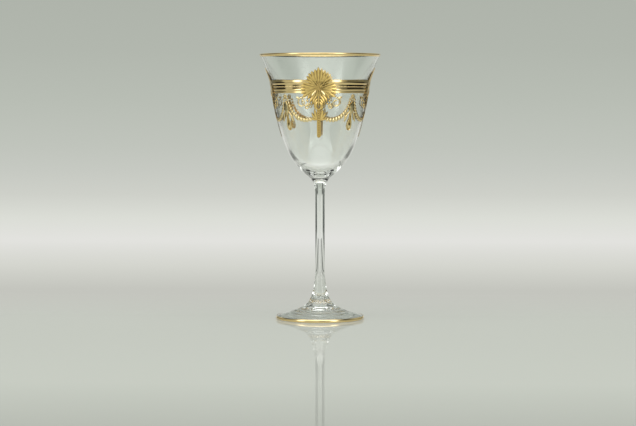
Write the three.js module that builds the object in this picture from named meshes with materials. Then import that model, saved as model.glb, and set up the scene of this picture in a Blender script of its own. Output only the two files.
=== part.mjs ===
// Red wine glass: a blown crystal bowl on a drawn stem and a pressed foot, dressed with raised gilding.
// Millimetres, +Z up. The origin is the centre of the plane that the foot stands on.
// The front of the glass faces -Y, and the first medallion is there.
import * as THREE from "three";

// Foot: a thin disc whose top rises to the stem, with a rounded edge and a hollow under its middle
const FOOT_RADIUS = 35; // over the gilded edge
const FOOT_EDGE = 2.6; // thickness at the rounded edge
const FOOT_RISE = 12.8; // table to the joint with the stem
const FOOT_SLOPE = 17; // degrees, of the top surface where it leaves the edge
const FOOT_HOLLOW = 7; // depth of the hollow under the middle
const REST_WIDTH = 5; // width of the flat ring that stands on the table
const FOOT_JOINT_RADIUS = 9.8; // where the foot meets the stem

// Stem: slim, with a bell-shaped base and a flared cap
const STEM_LENGTH = 99.2; // foot joint to bowl joint
const STEM_RADIUS = 3.65; // at its slimmest, above the base
const STEM_HEAD_RADIUS = 3.7; // just under the cap
const STEM_BASE_LENGTH = 26; // height of the bell-shaped base
const STEM_CAP_LENGTH = 15; // height of the flared cap
const CAP_JOINT_RADIUS = 7.9; // where the stem meets the bowl
const BASE_SLOPE = 46; // degrees, of the outline as it crosses the foot joint
const CAP_SLOPE = 42; // degrees, of the cap where it meets the bowl
const WELD_GAP = 0.02; // left between pieces of glass that are fused hot

// Bowl: an egg-shaped cup that turns at its waist into a flared lip
const BOWL_HEIGHT = 98; // bowl joint to the top of the gilded lip
const RIM_RADIUS = 48; // over the gilded lip
const WAIST_RADIUS = 39; // where the cup turns into the lip
const WAIST_DROP = 22; // top of the lip to the waist
const WAIST_LEAN = 82.3; // degrees, of the wall at the waist
const CUP_SLOPE = 39.5; // degrees, of the wall where it leaves the stem
const LIP_SLOPE = 60; // degrees, of the wall at the rim
const WALL = 1.4; // at the waist
const LIP = 1.1; // thickness of the rounded lip
const BOWL_FLOOR = 3; // glass under the inside of the bowl
const FLOOR_SPREAD = 18; // how broad the round floor inside is
const CUP_PULL = 0.71; // how far down the cup keeps the waist's lean, as a share of its height
const SPRING_PULL = 0.19; // how far up the bowl keeps the slope that it leaves the stem with
const LIP_PULL = 0.25; // how far down the lip keeps its slope, as a share of its height

// Gilding: thin gold fired on the glass, and raised motifs of the same gold
const GILD_GAP = 0.1; // between the gold and what it is fired on
const GILD_THICKNESS = 0.2; // of the plain bands at the lip and the foot
const RIM_BAND_OUTSIDE = 2; // depth of the lip's band outside
const RIM_BAND_INSIDE = 0.6; // depth of the lip's band inside
const FOOT_BAND_ARC = 50; // degrees of the foot's round edge covered, above and below its middle

// Frieze: two rails with a course of beads between them
const FRIEZE_DROP = 20.9; // top of the lip to the upper edge
const UPPER_RAIL_WIDTH = 3.6;
const BEAD_COURSE_WIDTH = 2.8;
const LOWER_RAIL_WIDTH = 3.2;
const RAIL_SPACING = 0.4; // bare glass between the courses
const FRIEZE_RISE = 0.35; // how far the crest stands off the back of a course
const COURSE_EDGE_RISE = 0.2; // the same at the edges of a course

// Raised motifs, four bays round the bowl, each with a medallion at its middle and a knot at its ends
const BAYS = 4;
const MOTIF_SPACING = 0.5; // bare glass between neighbouring motifs
const EDGE_RISE = 0.15; // thickness of a motif's edge
const MEDALLION_RADIUS = 13.3;
const MEDALLION_LEAVES = 14;
const MEDALLION_RISE = 0.9;
const CREST_LEAF = 1.1; // how much longer than the radius the top leaf is
const TAIL_LEAF = 2.7; // how much longer the bottom leaf is
const CENTRE_PENDANT_LENGTH = 23;
const CENTRE_PENDANT_WIDTH = 2.9;
const KNOT_RADIUS = 2.2;
const KNOT_LEAVES = 5;
const KNOT_PENDANT_LENGTH = 23.2;
const KNOT_PENDANT_STEM = 1.8; // width of its narrow part
const KNOT_PENDANT_BUD = 5.3; // width of the bud at its end
const PENDANT_RISE = 0.7;
const SWAG_WIDTH = 3.5; // at its fullest
const SWAG_END_WIDTH = 1.7;
const SWAG_HUSKS = 7; // husks threaded along each half festoon
const SWAG_RISE = 0.8;
const SWAG_INNER_DROP = 18.6; // frieze to the end at the centre pendant
const SWAG_SAG = 5; // how far the festoon hangs under that end
const SCROLL_RADIUS = 3.6;
const SCROLL_TURNS = 1.15;
const SCROLL_CLOSING = 0.6; // share of the radius that is lost by the inner end
const SCROLL_WIDTH = 1.3; // at its outer end
const SCROLL_TIP_WIDTH = 0.8; // at its inner end
const SCROLL_RISE = 0.6;
const SCROLL_BEARING = 133; // degrees from the medallion's top to the scroll beside it

// Facets
const TURN_FACETS = 44; // round the bowl and the foot
const STEM_FACETS = 24;
const CUP_STEPS = 9; // along the wall of the cup
const LIP_STEPS = 6; // along the wall of the flared lip
const CURVE_STEPS = 6; // along each other long curve of a profile
const ROUND_STEPS = 4; // over a rounded edge
const PENDANT_STEPS = 8;
const SCROLL_STEPS = 11;

// Heights that follow from the sizes above
const FOOT_JOINT_Z = FOOT_RISE;
const BOWL_JOINT_Z = FOOT_JOINT_Z + STEM_LENGTH;
const RIM_Z = BOWL_JOINT_Z + BOWL_HEIGHT;
const GILD_STACK = GILD_GAP + GILD_THICKNESS;
const LIP_TOP_Z = RIM_Z - GILD_STACK;
const LIP_RADIUS = RIM_RADIUS - GILD_STACK;
const WAIST_Z = RIM_Z - WAIST_DROP;
const FRIEZE_TOP_Z = RIM_Z - FRIEZE_DROP;
const BEAD_TOP_Z = FRIEZE_TOP_Z - UPPER_RAIL_WIDTH - RAIL_SPACING;
const LOWER_RAIL_TOP_Z = BEAD_TOP_Z - BEAD_COURSE_WIDTH - RAIL_SPACING;
const FRIEZE_BOTTOM_Z = LOWER_RAIL_TOP_Z - LOWER_RAIL_WIDTH;
const MEDALLION_Z = (FRIEZE_TOP_Z + FRIEZE_BOTTOM_Z) / 2;
const KNOT_Z = FRIEZE_BOTTOM_Z - MOTIF_SPACING - KNOT_RADIUS;
const FRONT = -Math.PI / 2; // bearing of the first medallion
const BAY_ANGLE = (2 * Math.PI) / BAYS;

const crystal = new THREE.MeshStandardMaterial({
  color: 0xe6ece8,
  roughness: 0.04,
  metalness: 0,
  transparent: true,
  opacity: 0.35,
});
const gold = new THREE.MeshStandardMaterial({
  color: 0xc8a64e,
  roughness: 0.25,
  metalness: 1,
});

const glass = new THREE.Group();

function addPiece(name, geometry, material) {
  const mesh = new THREE.Mesh(geometry, material);
  mesh.name = name;
  glass.add(mesh);
}

function point(radius, z) {
  return new THREE.Vector2(radius, z);
}

// A step of some length in a profile, at an angle above the outward direction
function polar(length, degrees) {
  const angle = THREE.MathUtils.degToRad(degrees);
  return point(length * Math.cos(angle), length * Math.sin(angle));
}

// A profile of (radius, z) points turned about +Z
function turn(profile, facets) {
  return new THREE.LatheGeometry(profile, facets).rotateX(Math.PI / 2);
}

// Points along an arc in a profile, angles in degrees above the outward direction
function arc(centre, radius, from, to, steps) {
  return Array.from({ length: steps + 1 }, (_, i) =>
    polar(radius, from + ((to - from) * i) / steps).add(centre),
  );
}

// Foot

const footEdgeRadius = FOOT_EDGE / 2;
const footEdgeCentre = point(FOOT_RADIUS - GILD_STACK - footEdgeRadius, footEdgeRadius);

function footProfile() {
  const restOuter = footEdgeCentre.x;
  const restInner = restOuter - REST_WIDTH;
  const edgeEnd = 90 - FOOT_SLOPE;
  const edge = arc(footEdgeCentre, footEdgeRadius, -90, edgeEnd, ROUND_STEPS);
  const top = edge.at(-1);
  const joint = point(FOOT_JOINT_RADIUS, FOOT_JOINT_Z);
  const reach = top.x - joint.x;
  const rise = new THREE.CubicBezierCurve(
    top,
    polar(reach / 2, 180 - FOOT_SLOPE).add(top),
    polar(reach / 4, -BASE_SLOPE).add(joint),
    joint,
  );
  const hollow = new THREE.QuadraticBezierCurve(
    point(0, FOOT_HOLLOW),
    point(restInner / 2, FOOT_HOLLOW),
    point(restInner, 0),
  );
  return [
    ...hollow.getPoints(ROUND_STEPS),
    ...edge,
    ...rise.getPoints(CURVE_STEPS).slice(1),
    point(0, FOOT_JOINT_Z),
  ];
}

addPiece("foot", turn(footProfile(), TURN_FACETS), crystal);

// Stem

function stemProfile() {
  const bottom = point(FOOT_JOINT_RADIUS, FOOT_JOINT_Z + WELD_GAP);
  const waist = point(STEM_RADIUS, FOOT_JOINT_Z + STEM_BASE_LENGTH);
  const neck = point(STEM_HEAD_RADIUS, BOWL_JOINT_Z - STEM_CAP_LENGTH);
  const top = point(CAP_JOINT_RADIUS, BOWL_JOINT_Z - WELD_GAP);
  const base = new THREE.CubicBezierCurve(
    bottom,
    polar(STEM_BASE_LENGTH / 4, 180 - BASE_SLOPE).add(bottom),
    polar(STEM_BASE_LENGTH / 4, -90).add(waist),
    waist,
  );
  const cap = new THREE.CubicBezierCurve(
    neck,
    polar(STEM_CAP_LENGTH * 0.4, 90).add(neck),
    polar(STEM_CAP_LENGTH * 0.32, 180 + CAP_SLOPE).add(top),
    top,
  );
  return [
    point(0, bottom.y),
    ...base.getPoints(CURVE_STEPS),
    ...cap.getPoints(CURVE_STEPS),
    point(0, top.y),
  ];
}

addPiece("stem", turn(stemProfile(), STEM_FACETS), crystal);

// Bowl

// The cup below a waist point and the lip above it, as two curves that meet smoothly there
function wallCurves(start, startHandle, waist, rim) {
  const cupHandle = (waist.y - start.y) * CUP_PULL;
  const lipHandle = (rim.y - waist.y) * LIP_PULL;
  const cup = new THREE.CubicBezierCurve(
    start,
    startHandle.clone().add(start),
    polar(-cupHandle, WAIST_LEAN).add(waist),
    waist,
  );
  const lip = new THREE.CubicBezierCurve(
    waist,
    polar(lipHandle / 3, WAIST_LEAN).add(waist),
    polar(-lipHandle, LIP_SLOPE).add(rim),
    rim,
  );
  return { cup, lip };
}

const lipCentre = point(LIP_RADIUS - LIP / 2, LIP_TOP_Z - LIP / 2);
const outside = wallCurves(
  point(CAP_JOINT_RADIUS, BOWL_JOINT_Z),
  polar(BOWL_HEIGHT * SPRING_PULL, CUP_SLOPE),
  point(WAIST_RADIUS, WAIST_Z),
  point(LIP_RADIUS, lipCentre.y),
);
const inside = wallCurves(
  point(0, BOWL_JOINT_Z + BOWL_FLOOR),
  point(FLOOR_SPREAD, 0),
  point(WAIST_RADIUS - WALL, WAIST_Z),
  point(LIP_RADIUS - LIP, lipCentre.y),
);

// Points from the bottom of a wall to its rim
function wallPoints({ cup, lip }) {
  return [...cup.getPoints(CUP_STEPS), ...lip.getPoints(LIP_STEPS).slice(1)];
}

function bowlProfile() {
  return [
    point(0, BOWL_JOINT_Z),
    ...wallPoints(outside),
    ...arc(lipCentre, LIP / 2, 0, 180, ROUND_STEPS).slice(1, -1),
    ...wallPoints(inside).reverse(),
  ];
}

addPiece("bowl", turn(bowlProfile(), TURN_FACETS), crystal);

// The place on the bowl's outside at height z: its radius and the outward normal of its outline
function outsideAt(z) {
  const curve = z < WAIST_Z ? outside.cup : outside.lip;
  let low = 0;
  let high = 1;
  for (let i = 0; i < 40; i++) {
    const middle = (low + high) / 2;
    if (curve.getPoint(middle).y < z) low = middle;
    else high = middle;
  }
  const along = curve.getTangent(low);
  return { at: curve.getPoint(low), normal: point(along.y, -along.x) };
}

// The point that stands off the bowl's outside by some distance at height z
function standOff(z, distance) {
  const { at, normal } = outsideAt(z);
  return normal.multiplyScalar(distance).add(at);
}

// Gold bands

function rimBandProfile() {
  const inner = LIP / 2 + GILD_GAP;
  const outer = inner + GILD_THICKNESS;
  const outsideEnd = LIP_TOP_Z - RIM_BAND_OUTSIDE;
  const lean = RIM_BAND_INSIDE / Math.tan(THREE.MathUtils.degToRad(LIP_SLOPE));
  const insideEnd = point(lipCentre.x - inner - lean, lipCentre.y - RIM_BAND_INSIDE);
  const over = (radius, from, to) => arc(lipCentre, radius, from, to, ROUND_STEPS);
  return [
    standOff(outsideEnd, GILD_GAP),
    standOff(outsideEnd, GILD_STACK),
    ...over(outer, 0, 180),
    point(insideEnd.x - GILD_THICKNESS, insideEnd.y),
    insideEnd,
    ...over(inner, 180, 0),
    standOff(outsideEnd, GILD_GAP),
  ];
}

function footBandProfile() {
  const inner = footEdgeRadius + GILD_GAP;
  const outer = inner + GILD_THICKNESS;
  const face = arc(footEdgeCentre, outer, -FOOT_BAND_ARC, FOOT_BAND_ARC, ROUND_STEPS);
  const back = arc(footEdgeCentre, inner, FOOT_BAND_ARC, -FOOT_BAND_ARC, ROUND_STEPS);
  return [...face, ...back, face[0]];
}

// A course of the frieze: crowned in front, with its back following the bowl
function courseProfile(top, width) {
  const bottom = top - width;
  const middle = top - width / 2;
  const back = (z) => standOff(z, GILD_GAP);
  return [
    back(bottom),
    standOff(bottom, GILD_GAP + COURSE_EDGE_RISE),
    standOff(middle, GILD_GAP + FRIEZE_RISE),
    standOff(top, GILD_GAP + COURSE_EDGE_RISE),
    back(top),
    back(bottom),
  ];
}

addPiece("rim_gilding", turn(rimBandProfile(), TURN_FACETS), gold);
addPiece("foot_gilding", turn(footBandProfile(), TURN_FACETS), gold);
addPiece("frieze_upper_rail", turn(courseProfile(FRIEZE_TOP_Z, UPPER_RAIL_WIDTH), TURN_FACETS), gold);
addPiece("frieze_bead_course", turn(courseProfile(BEAD_TOP_Z, BEAD_COURSE_WIDTH), TURN_FACETS), gold);
addPiece("frieze_lower_rail", turn(courseProfile(LOWER_RAIL_TOP_Z, LOWER_RAIL_WIDTH), TURN_FACETS), gold);

// Raised motifs are laid out flat and then wrapped round the bowl, as a transfer is.
// A flat point is (mm to the right of the motif's meridian, height z, mm off the glass).

function wrap(flat, bearing) {
  const place = standOff(flat.y, flat.z);
  const angle = bearing + flat.x / outsideAt(flat.y).at.x;
  return new THREE.Vector3(place.x * Math.cos(angle), place.x * Math.sin(angle), place.y);
}

// A closed solid from two sheets of flat points with the same triangles and the same boundary loop
function reliefSolid(front, back, triangles, boundary, bearing) {
  const count = front.length;
  const position = [...front, ...back].flatMap((flat) => wrap(flat, bearing).toArray());
  const faces = triangles.flatMap(([a, b, c]) => [a, b, c, count + a, count + c, count + b]);
  boundary.forEach((a, i) => {
    const b = boundary[(i + 1) % boundary.length];
    faces.push(a, count + a, count + b, a, count + b, b);
  });
  return new THREE.BufferGeometry()
    .setAttribute("position", new THREE.Float32BufferAttribute(position, 3))
    .setIndex(faces);
}

// A strip along a flat curve, with a ridge down its middle. half and rise give its half width and its
// height over the back at each share of its length, and spacing where along it each step falls.
function strip({ curve, steps, half, rise, seat, bearing, spacing = (step) => step }) {
  const front = [];
  const back = [];
  for (let i = 0; i <= steps; i++) {
    const share = spacing(i / steps);
    const at = curve.getPoint(share);
    const along = curve.getTangent(share);
    [1, 0, -1].forEach((side) => {
      const out = half(share) * side;
      const x = at.x - along.y * out;
      const y = at.y + along.x * out;
      back.push(new THREE.Vector3(x, y, seat));
      front.push(new THREE.Vector3(x, y, seat + (side ? EDGE_RISE : rise(share))));
    });
  }
  const triangles = [];
  for (let i = 0; i < steps; i++) {
    for (const a of [3 * i, 3 * i + 1]) {
      triangles.push([a, a + 1, a + 4], [a, a + 4, a + 3]);
    }
  }
  const rows = Array.from({ length: steps + 1 }, (_, i) => 3 * i);
  const left = rows.slice().reverse();
  const right = rows.map((a) => a + 2);
  const boundary = [...left, 1, ...right, 3 * steps + 1];
  return reliefSolid(front, back, triangles, boundary, bearing);
}

// Leaves round a boss. reach gives a leaf's length at each angle, in radians from the top. Each ring is
// a share of the reach and how much of a leaf's crest it has there.
function rosette({ z, leaves, rings, reach, rise, seat, bearing }) {
  const outline = [0.64, 0.88, 1, 0.88]; // valley, shoulder, tip, shoulder, as shares of the reach
  const crest = [0.3, 0.6, 1, 0.6]; // how high each of those rays is, as shares of the rise
  const around = leaves * outline.length;
  const front = [new THREE.Vector3(0, z, seat + rise)];
  const back = [new THREE.Vector3(0, z, seat)];
  rings.forEach(([ring, lift]) => {
    for (let k = 0; k < around; k++) {
      const ray = (k + 2) % outline.length;
      const angle = (2 * Math.PI * k) / around;
      const radius = reach(angle) * outline[ray] * ring;
      const flat = [-radius * Math.sin(angle), z + radius * Math.cos(angle)];
      const height = EDGE_RISE + (rise - EDGE_RISE) * crest[ray] * lift;
      back.push(new THREE.Vector3(...flat, seat));
      front.push(new THREE.Vector3(...flat, seat + height));
    }
  });
  const triangles = [];
  for (let k = 0; k < around; k++) {
    const next = (k + 1) % around;
    triangles.push([0, 1 + k, 1 + next]);
    for (let r = 1; r < rings.length; r++) {
      const a = 1 + (r - 1) * around;
      const b = a + around;
      triangles.push([a + k, b + k, b + next], [a + k, b + next, a + next]);
    }
  }
  const last = 1 + (rings.length - 1) * around;
  const boundary = Array.from({ length: around }, (_, k) => last + k);
  return reliefSolid(front, back, triangles, boundary, bearing);
}

// Medallion: a rosette of leaves fired over the frieze, with a taller crest leaf and a long tail leaf
const MEDALLION_SEAT = GILD_GAP + FRIEZE_RISE + GILD_GAP;
const MEDALLION_TAIL_Z = MEDALLION_Z - MEDALLION_RADIUS - TAIL_LEAF;

function medallionReach(angle) {
  const up = Math.cos(angle);
  return MEDALLION_RADIUS + (up > 0 ? CREST_LEAF * up ** 8 : TAIL_LEAF * up ** 12);
}

function medallion(bearing) {
  return rosette({
    z: MEDALLION_Z,
    leaves: MEDALLION_LEAVES,
    rings: [[0.34, 0.6], [0.7, 1], [1, 0]],
    reach: medallionReach,
    rise: MEDALLION_RISE,
    seat: MEDALLION_SEAT,
    bearing,
  });
}

// A motif that hangs straight down its meridian, from a height z
function pendant(topZ, length, half, bearing) {
  return strip({
    curve: new THREE.LineCurve(point(0, topZ), point(0, topZ - length)),
    steps: PENDANT_STEPS,
    half,
    rise: () => PENDANT_RISE,
    seat: GILD_GAP,
    bearing,
    spacing: (step) => 1 - (1 - step) ** 2, // closer together towards the rounded end
  });
}

// Rounds the end of a motif off, over the last share of its length, to a blunt tip
function roundEnd(share, over) {
  const blunt = 0.12;
  const into = Math.max(0, (share - 1 + over) / over);
  return Math.sqrt(Math.max(blunt, 1 - into ** 2));
}

function centrePendant(bearing) {
  const over = CENTRE_PENDANT_WIDTH / 2 / CENTRE_PENDANT_LENGTH;
  const half = (share) => (CENTRE_PENDANT_WIDTH / 2) * roundEnd(share, over);
  return pendant(MEDALLION_TAIL_Z - MOTIF_SPACING, CENTRE_PENDANT_LENGTH, half, bearing);
}

function knot(bearing) {
  return rosette({
    z: KNOT_Z,
    leaves: KNOT_LEAVES,
    rings: [[0.55, 1], [1, 0]],
    reach: () => KNOT_RADIUS,
    rise: PENDANT_RISE,
    seat: GILD_GAP,
    bearing,
  });
}

function knotPendant(bearing) {
  const swell = 6; // the higher, the lower down the bud begins
  const over = KNOT_PENDANT_BUD / 2 / KNOT_PENDANT_LENGTH;
  const half = (share) => {
    const bud = (KNOT_PENDANT_BUD - KNOT_PENDANT_STEM) * share ** swell;
    return ((KNOT_PENDANT_STEM + bud) / 2) * roundEnd(share, over);
  };
  const top = KNOT_Z - KNOT_RADIUS - MOTIF_SPACING;
  return pendant(top, KNOT_PENDANT_LENGTH, half, bearing);
}

// Half a festoon, from beside the centre pendant up to beside the knot. side is 1 to the right.
function swag(side, bearing) {
  const innerZ = FRIEZE_BOTTOM_Z - SWAG_INNER_DROP;
  const outerZ = KNOT_Z - KNOT_RADIUS;
  const clear = MOTIF_SPACING + SWAG_END_WIDTH / 2;
  const innerX = CENTRE_PENDANT_WIDTH / 2 + MOTIF_SPACING;
  const knotX = (BAY_ANGLE / 2) * outsideAt(outerZ).at.x;
  const outerX = knotX - KNOT_RADIUS / 2 - clear;
  const third = (outerX - innerX) / 3;
  const curve = new THREE.CubicBezierCurve(
    point(side * innerX, innerZ),
    point(side * (innerX + third), innerZ - SWAG_SAG),
    point(side * (outerX - third / 2), innerZ - SWAG_SAG / 3),
    point(side * outerX, outerZ),
  );
  const huskNeck = 0.72; // width between two husks, as a share of their width
  const fullness = (share) => Math.sin(Math.PI * share);
  const half = (share) => {
    const husk = Math.round(share * SWAG_HUSKS * 2) % 2 ? 1 : huskNeck;
    return (husk * THREE.MathUtils.lerp(SWAG_END_WIDTH, SWAG_WIDTH, fullness(share))) / 2;
  };
  const rise = (share) => (SWAG_RISE * (1 + fullness(share))) / 2;
  return strip({ curve, steps: SWAG_HUSKS * 2, half, rise, seat: GILD_GAP, bearing });
}

// A spiral curve on the flat transfer, turning inwards from its start
class SpiralCurve extends THREE.Curve {
  constructor(centre, radius, start, turns) {
    super();
    Object.assign(this, { centre, radius, start, turns });
  }

  getPoint(share) {
    const angle = this.start - 2 * Math.PI * this.turns * share;
    const radius = this.radius * (1 - SCROLL_CLOSING * share);
    return point(Math.cos(angle), Math.sin(angle)).multiplyScalar(radius).add(this.centre);
  }
}

// A scroll that curls beside the medallion's lower leaves. side is 1 to the right.
function scroll(side, bearing) {
  const away = MEDALLION_RADIUS + MOTIF_SPACING + SCROLL_RADIUS + SCROLL_WIDTH / 2;
  const angle = THREE.MathUtils.degToRad(90 - SCROLL_BEARING);
  const centre = point(away * Math.cos(angle), MEDALLION_Z + away * Math.sin(angle));
  const right = new SpiralCurve(centre, SCROLL_RADIUS, Math.PI / 2, SCROLL_TURNS);
  const left = new SpiralCurve(point(-centre.x, centre.y), SCROLL_RADIUS, Math.PI / 2, -SCROLL_TURNS);
  return strip({
    curve: side > 0 ? right : left,
    steps: SCROLL_STEPS,
    half: (share) => THREE.MathUtils.lerp(SCROLL_WIDTH, SCROLL_TIP_WIDTH, share) / 2,
    rise: () => SCROLL_RISE,
    seat: GILD_GAP,
    bearing,
  });
}

for (let bay = 0; bay < BAYS; bay++) {
  const middle = FRONT + bay * BAY_ANGLE;
  const end = middle + BAY_ANGLE / 2;
  addPiece(`medallion_${bay + 1}`, medallion(middle), gold);
  addPiece(`centre_pendant_${bay + 1}`, centrePendant(middle), gold);
  addPiece(`knot_${bay + 1}`, knot(end), gold);
  addPiece(`knot_pendant_${bay + 1}`, knotPendant(end), gold);
  [-1, 1].forEach((side, i) => {
    addPiece(`swag_${2 * bay + i + 1}`, swag(side, middle), gold);
    addPiece(`scroll_${2 * bay + i + 1}`, scroll(side, middle), gold);
  });
}

export default glass;
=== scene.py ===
"""Red wine glass in clear crystal with fired gold: its looks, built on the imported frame, in metres."""

import logging
import math
from collections.abc import Callable, Sequence
from dataclasses import dataclass, field
from enum import Enum
from typing import Any

import bmesh
import bpy
import numpy as np
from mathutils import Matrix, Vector


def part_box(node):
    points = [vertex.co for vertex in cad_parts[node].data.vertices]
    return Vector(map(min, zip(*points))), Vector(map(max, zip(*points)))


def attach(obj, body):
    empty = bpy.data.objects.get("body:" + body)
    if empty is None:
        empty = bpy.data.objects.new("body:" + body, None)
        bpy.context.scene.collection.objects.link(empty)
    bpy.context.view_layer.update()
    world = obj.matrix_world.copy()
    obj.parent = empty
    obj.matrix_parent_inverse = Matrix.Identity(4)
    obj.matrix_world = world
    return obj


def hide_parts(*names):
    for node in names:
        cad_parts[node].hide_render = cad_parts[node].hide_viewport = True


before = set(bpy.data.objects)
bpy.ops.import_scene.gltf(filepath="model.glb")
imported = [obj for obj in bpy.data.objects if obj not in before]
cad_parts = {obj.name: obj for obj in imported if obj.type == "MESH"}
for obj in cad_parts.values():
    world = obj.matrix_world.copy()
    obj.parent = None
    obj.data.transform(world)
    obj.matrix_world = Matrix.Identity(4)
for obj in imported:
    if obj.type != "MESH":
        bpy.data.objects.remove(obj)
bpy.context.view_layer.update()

MM = 0.001
BAYS = 4
BAY_ANGLE = 2 * math.pi / BAYS
FRONT = -math.pi / 2  # bearing of the first medallion, towards the camera
BODY = "root"
POLE = 1e-9  # a smaller radius is a point on the axis, in metres
MERGE = 1e-7  # vertices closer than this become one, in metres

Array = np.ndarray
Place = Callable[[Array, Array, Array], Array]  # flat x, height z and distance off the glass, to points
Stops = Sequence[tuple[float, str]]  # places and sRGB hex values

log = logging.getLogger("wine_glass")


class Slot(Enum):
    """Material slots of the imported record."""

    CRYSTAL = "crystal"
    GOLD = "gold"


class Tone(Enum):
    """What a gold finish varies its colour by."""

    PATCHES = "patches"  # uneven firing, in soft patches
    RELIEF_SHADE = "relief"  # painted shade by the modelling: the low colour in the hollows, the full gold on the crests


# Small tools


def linear(colour: str) -> tuple[float, float, float, float]:
    """Turns an sRGB hex value to linear colour.

    Args:
        colour: A hash and six hex digits.

    Returns:
        Red, green and blue, and an alpha of 1.
    """
    levels = [int(colour[i : i + 2], 16) / 255 for i in (1, 3, 5)]
    red, green, blue = (v / 12.92 if v <= 0.04045 else ((v + 0.055) / 1.055) ** 2.4 for v in levels)
    return red, green, blue, 1.0


def add_node(
    tree: bpy.types.NodeTree,
    kind: str,
    settings: dict[str, Any] | None = None,
    inputs: dict[str | int, Any] | None = None,
) -> bpy.types.Node:
    """Adds a node with its settings, values and links.

    Args:
        tree: The tree that gets it.
        kind: Blender's name for the kind of node.
        settings: Values of the node's own properties.
        inputs: Values for its sockets by name or number. An output socket is linked.

    Returns:
        The new node.
    """
    node = tree.nodes.new(kind)
    for name, value in (settings or {}).items():
        setattr(node, name, value)
    for key, value in (inputs or {}).items():
        if isinstance(value, bpy.types.NodeSocket):
            tree.links.new(value, node.inputs[key])
        else:
            node.inputs[key].default_value = value
    return node


def set_stops(ramp: bpy.types.ColorRamp, stops: Stops) -> None:
    """Gives a colour ramp its stops.

    Args:
        ramp: The ramp, with Blender's first two stops in it.
        stops: Place from 0 to 1 and sRGB hex value of each, in rising order.
    """
    while len(ramp.elements) < len(stops):
        ramp.elements.new(0.5)
    for element, (place, colour) in zip(ramp.elements, stops):
        element.position = place
        element.color = linear(colour)


def bezier(controls: Sequence[Sequence[float]], steps: int) -> Array:
    """Samples a Bezier curve of any degree.

    Args:
        controls: Its control points.
        steps: How many equal steps it is cut into.

    Returns:
        The points, one a row.
    """
    share = np.linspace(0.0, 1.0, steps + 1)[:, None]
    points = [np.tile(np.array(c, float), (steps + 1, 1)) for c in controls]
    while len(points) > 1:
        points = [a + (b - a) * share for a, b in zip(points, points[1:])]
    return points[0]


def polar(length: float, degrees: float) -> Array:
    """A step of some length in a profile, at an angle above the outward direction."""
    angle = math.radians(degrees)
    return length * np.array([math.cos(angle), math.sin(angle)])


def arc(centre: Array, radius: float, start: float, end: float, steps: int) -> Array:
    """Points along an arc in a profile.

    Args:
        centre: Its centre, as radius and height.
        radius: Its radius.
        start: Where it begins, in degrees above the outward direction.
        end: Where it ends.
        steps: How many steps it is cut into.

    Returns:
        The points, one a row.
    """
    return np.array([centre + polar(radius, a) for a in np.linspace(start, end, steps + 1)])


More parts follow.
